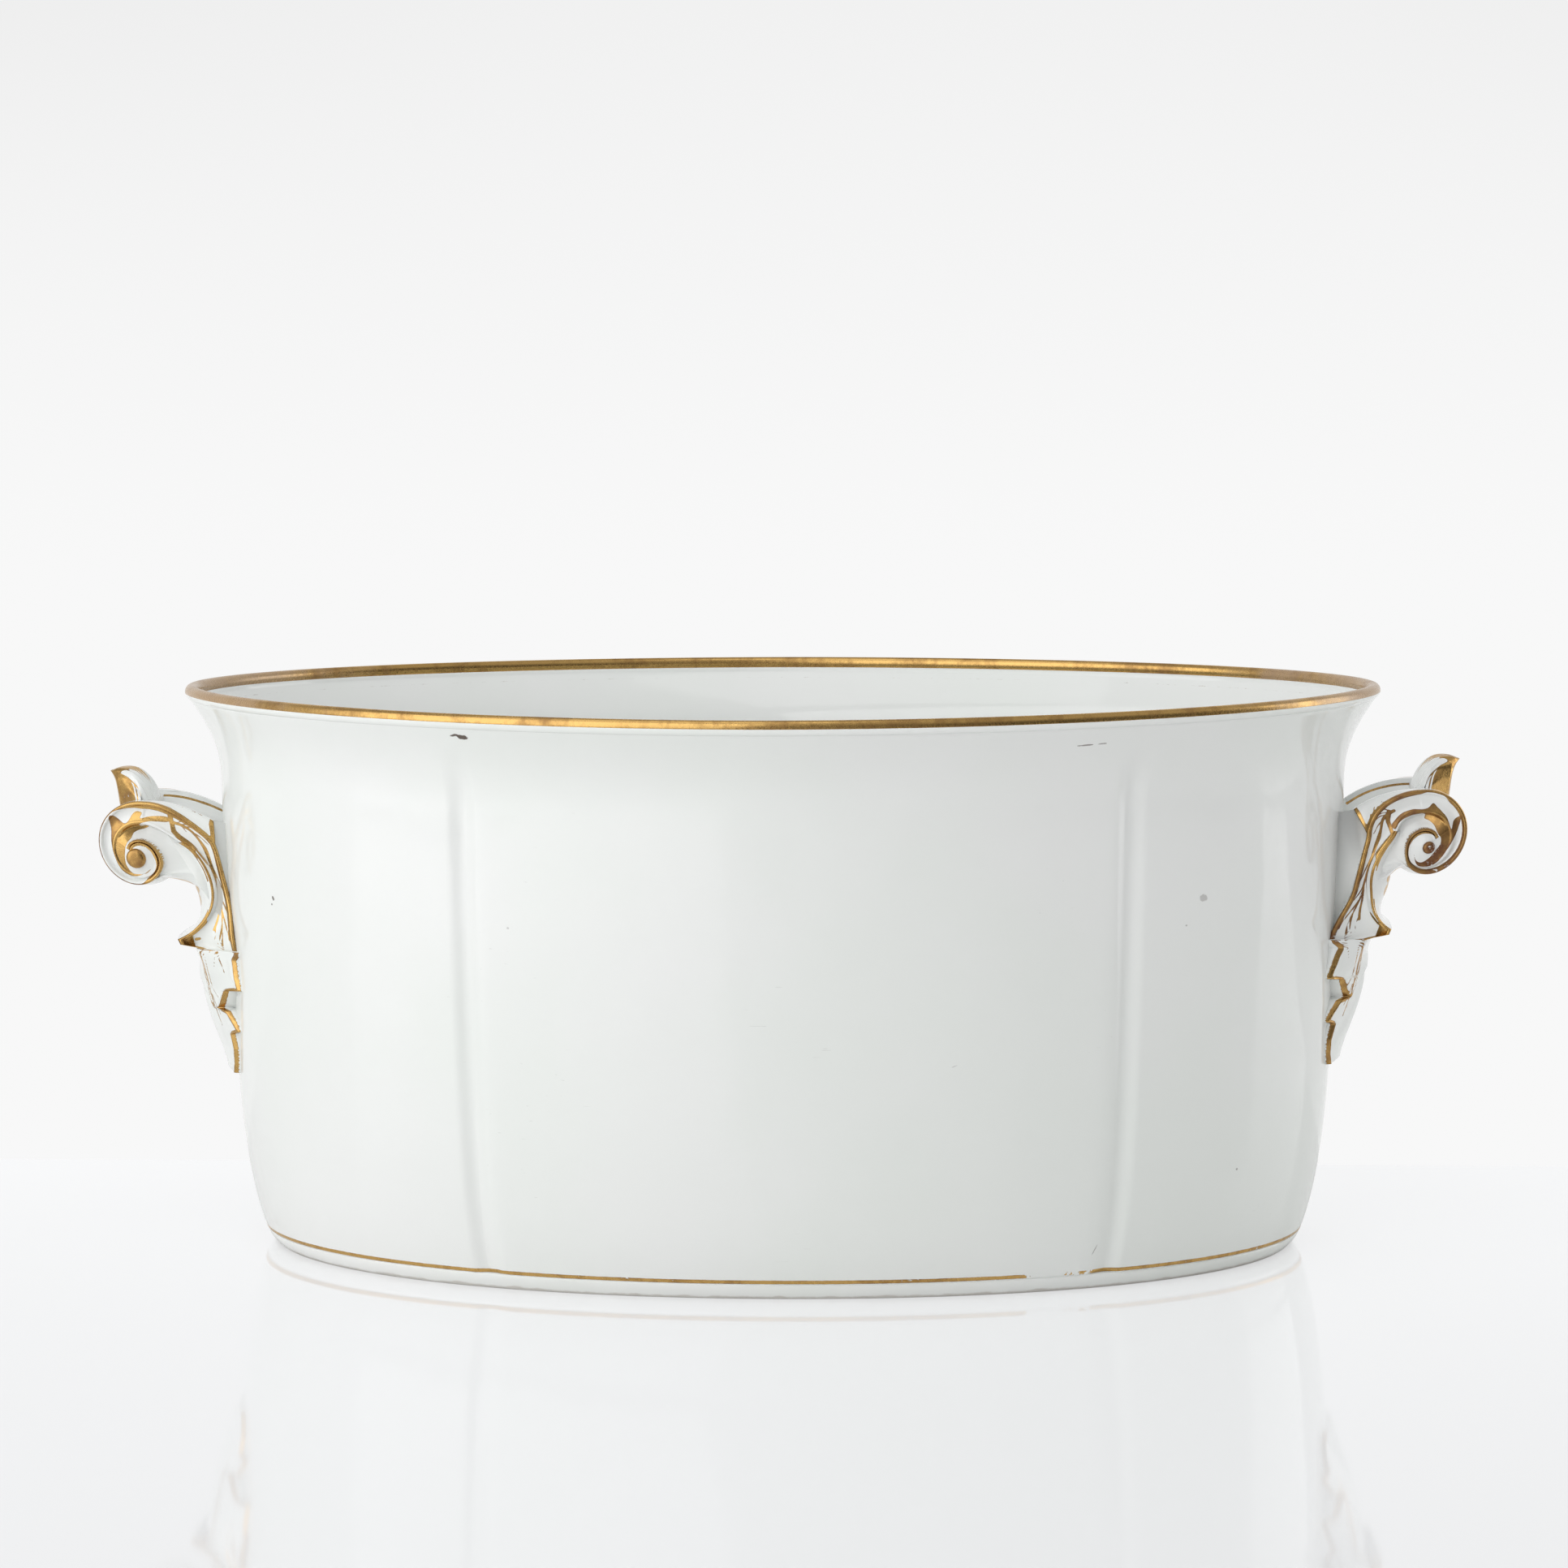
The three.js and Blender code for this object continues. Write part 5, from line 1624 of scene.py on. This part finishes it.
# Dark parts of the room: where they are, how dark, and whether only reflections show them
DARK_PARTS = (((0.82, -0.57, 0), 0.8, False), ((0.1, -1, 0), 0.55, True))


def white_room(strength, zenith):
    """World: a white room, brighter at eye level, with a dark corner on the right and a dim camera side"""
    world = bpy.data.worlds.new("white_room")
    world.use_nodes = True
    world.node_tree.nodes.clear()
    sheet = NodeSheet(world.node_tree)
    heading = sheet.add("ShaderNodeTexCoord").outputs["Generated"]
    axes = sheet.axes(heading)
    level = sheet.ramp(axes["Z"], 0.1, 0.9, strength, zenith)
    level = sheet.times(level, sheet.ramp(axes["X"], -0.6, 0.9, 1.0, 1.08))
    for facing, dimmed, glossy_only in DARK_PARTS:
        dark = sheet.add("ShaderNodeVectorMath", {0: heading, 1: facing}, operation="DOT_PRODUCT")
        dark = sheet.ramp(dark.outputs["Value"], 0.72, 0.96, 0.0, dimmed)
        if glossy_only:
            dark = sheet.times(dark, sheet.add("ShaderNodeLightPath").outputs["Is Glossy Ray"])
        level = sheet.times(level, sheet.minus(1.0, dark))
    seen = sheet.add("ShaderNodeLightPath").outputs["Is Camera Ray"]
    level = sheet.add("ShaderNodeMix", {"Factor": seen, "A": level, "B": 0.93}).outputs["Result"]
    lit = sheet.add("ShaderNodeBackground", {"Strength": level, "Color": WHITE})
    sheet.surface(lit, "ShaderNodeOutputWorld")
    bpy.context.scene.world = world


# Each lamp's place, aim, width and height in metres
SOFTBOXES = {
    "key": ((-1.05, -1.25, 0.8), (0, 0, 0.1), 2.2, 1.6),
    "top": ((-0.3, -0.6, 1.6), (0, 0, 0.1), 1.2, 0.8),
    "right": ((1.5, 0.3, 0.5), (0.1, 0, 0.1), 0.9, 1.0),
}


def softbox(name, place, aim, width, height, power):
    light = bpy.data.lights.new(name, "AREA")
    light.shape = "RECTANGLE"
    light.size = width
    light.size_y = height
    light.energy = power
    lamp = bpy.data.objects.new(name, light)
    bpy.context.scene.collection.objects.link(lamp)
    lamp.visible_camera = False
    lamp.location = place
    lamp.rotation_euler = (Vector(aim) - Vector(place)).to_track_quat("-Z", "Y").to_euler()


class COOLER_OT_stage(bpy.types.Operator):
    """Set up the camera, the table, the ground and the lights"""
    bl_idname = "cooler.stage"
    bl_label = "Studio"

    def execute(self, context):
        scene = context.scene
        studio = scene.cooler_studio
        scene.view_settings.view_transform = "Standard"
        data = bpy.data.cameras.new("camera")
        data.lens = studio.focal
        data.sensor_width = SENSOR_WIDTH
        data.shift_x = CAMERA_SHIFT
        data.clip_end = 50.0
        camera = bpy.data.objects.new("camera", data)
        scene.collection.objects.link(camera)
        turn = math.radians(CAMERA_YAW)
        camera.location = (
            studio.distance * math.sin(turn), -studio.distance * math.cos(turn), studio.camera_height,
        )
        camera.rotation_mode = "XYZ"
        camera.rotation_euler = (math.radians(90 - CAMERA_PITCH), 0.0, turn)
        aim = camera.rotation_euler.to_matrix() @ Matrix.Rotation(math.radians(CAMERA_ROLL), 3, "Z")
        camera.rotation_euler = aim.to_euler("XYZ")
        scene.camera = camera
        table = bmesh.new()
        bmesh.ops.create_grid(table, x_segments=1, y_segments=1, size=0.5)
        for vertex in table.verts:
            back = lerp(TABLE_FRONT, studio.table_back, vertex.co.y + 0.5)
            vertex.co = (vertex.co.x * TABLE_WIDTH, back, 0)
        stage_piece("pale_table", table, table_material())
        stage_piece("white_sweep", sweep_mesh(), sweep_material())
        for name, (place, aim, width, height) in SOFTBOXES.items():
            softbox(f"{name}_softbox", place, aim, width, height, getattr(studio, name))
        white_room(studio.fill, studio.zenith)
        return {"FINISHED"}


class COOLER_PT_panel(bpy.types.Panel):
    """Lists the sizes, the finish and the operators"""
    bl_label = "Champagne cooler"
    bl_idname = "COOLER_PT_panel"
    bl_space_type = "VIEW_3D"
    bl_region_type = "UI"
    bl_category = "Cooler"

    def draw(self, context):
        for group in (context.scene.cooler_sizes, context.scene.cooler_finish, context.scene.cooler_studio):
            box = self.layout.box()
            for key in type(group).__annotations__:
                box.prop(group, key)
        for operator in OPERATORS:
            self.layout.operator(operator.bl_idname)


OPERATORS = (COOLER_OT_stage, COOLER_OT_tub, COOLER_OT_handles, COOLER_OT_leaves)
GROUPS = {"cooler_sizes": CoolerSizes, "cooler_finish": CoolerFinish, "cooler_studio": CoolerStudio}


def register():
    for each in (*GROUPS.values(), *OPERATORS, COOLER_PT_panel):
        bpy.utils.register_class(each)
    for name, group in GROUPS.items():
        setattr(bpy.types.Scene, name, bpy.props.PointerProperty(type=group))


def unregister():
    for name in GROUPS:
        delattr(bpy.types.Scene, name)
    for each in (COOLER_PT_panel, *reversed(OPERATORS), *reversed(GROUPS.values())):
        bpy.utils.unregister_class(each)


def main():
    register()
    bpy.ops.cooler.stage()
    bpy.ops.cooler.tub()
    bpy.ops.cooler.handles()
    bpy.ops.cooler.leaves()


if __name__ == "__main__":
    main()
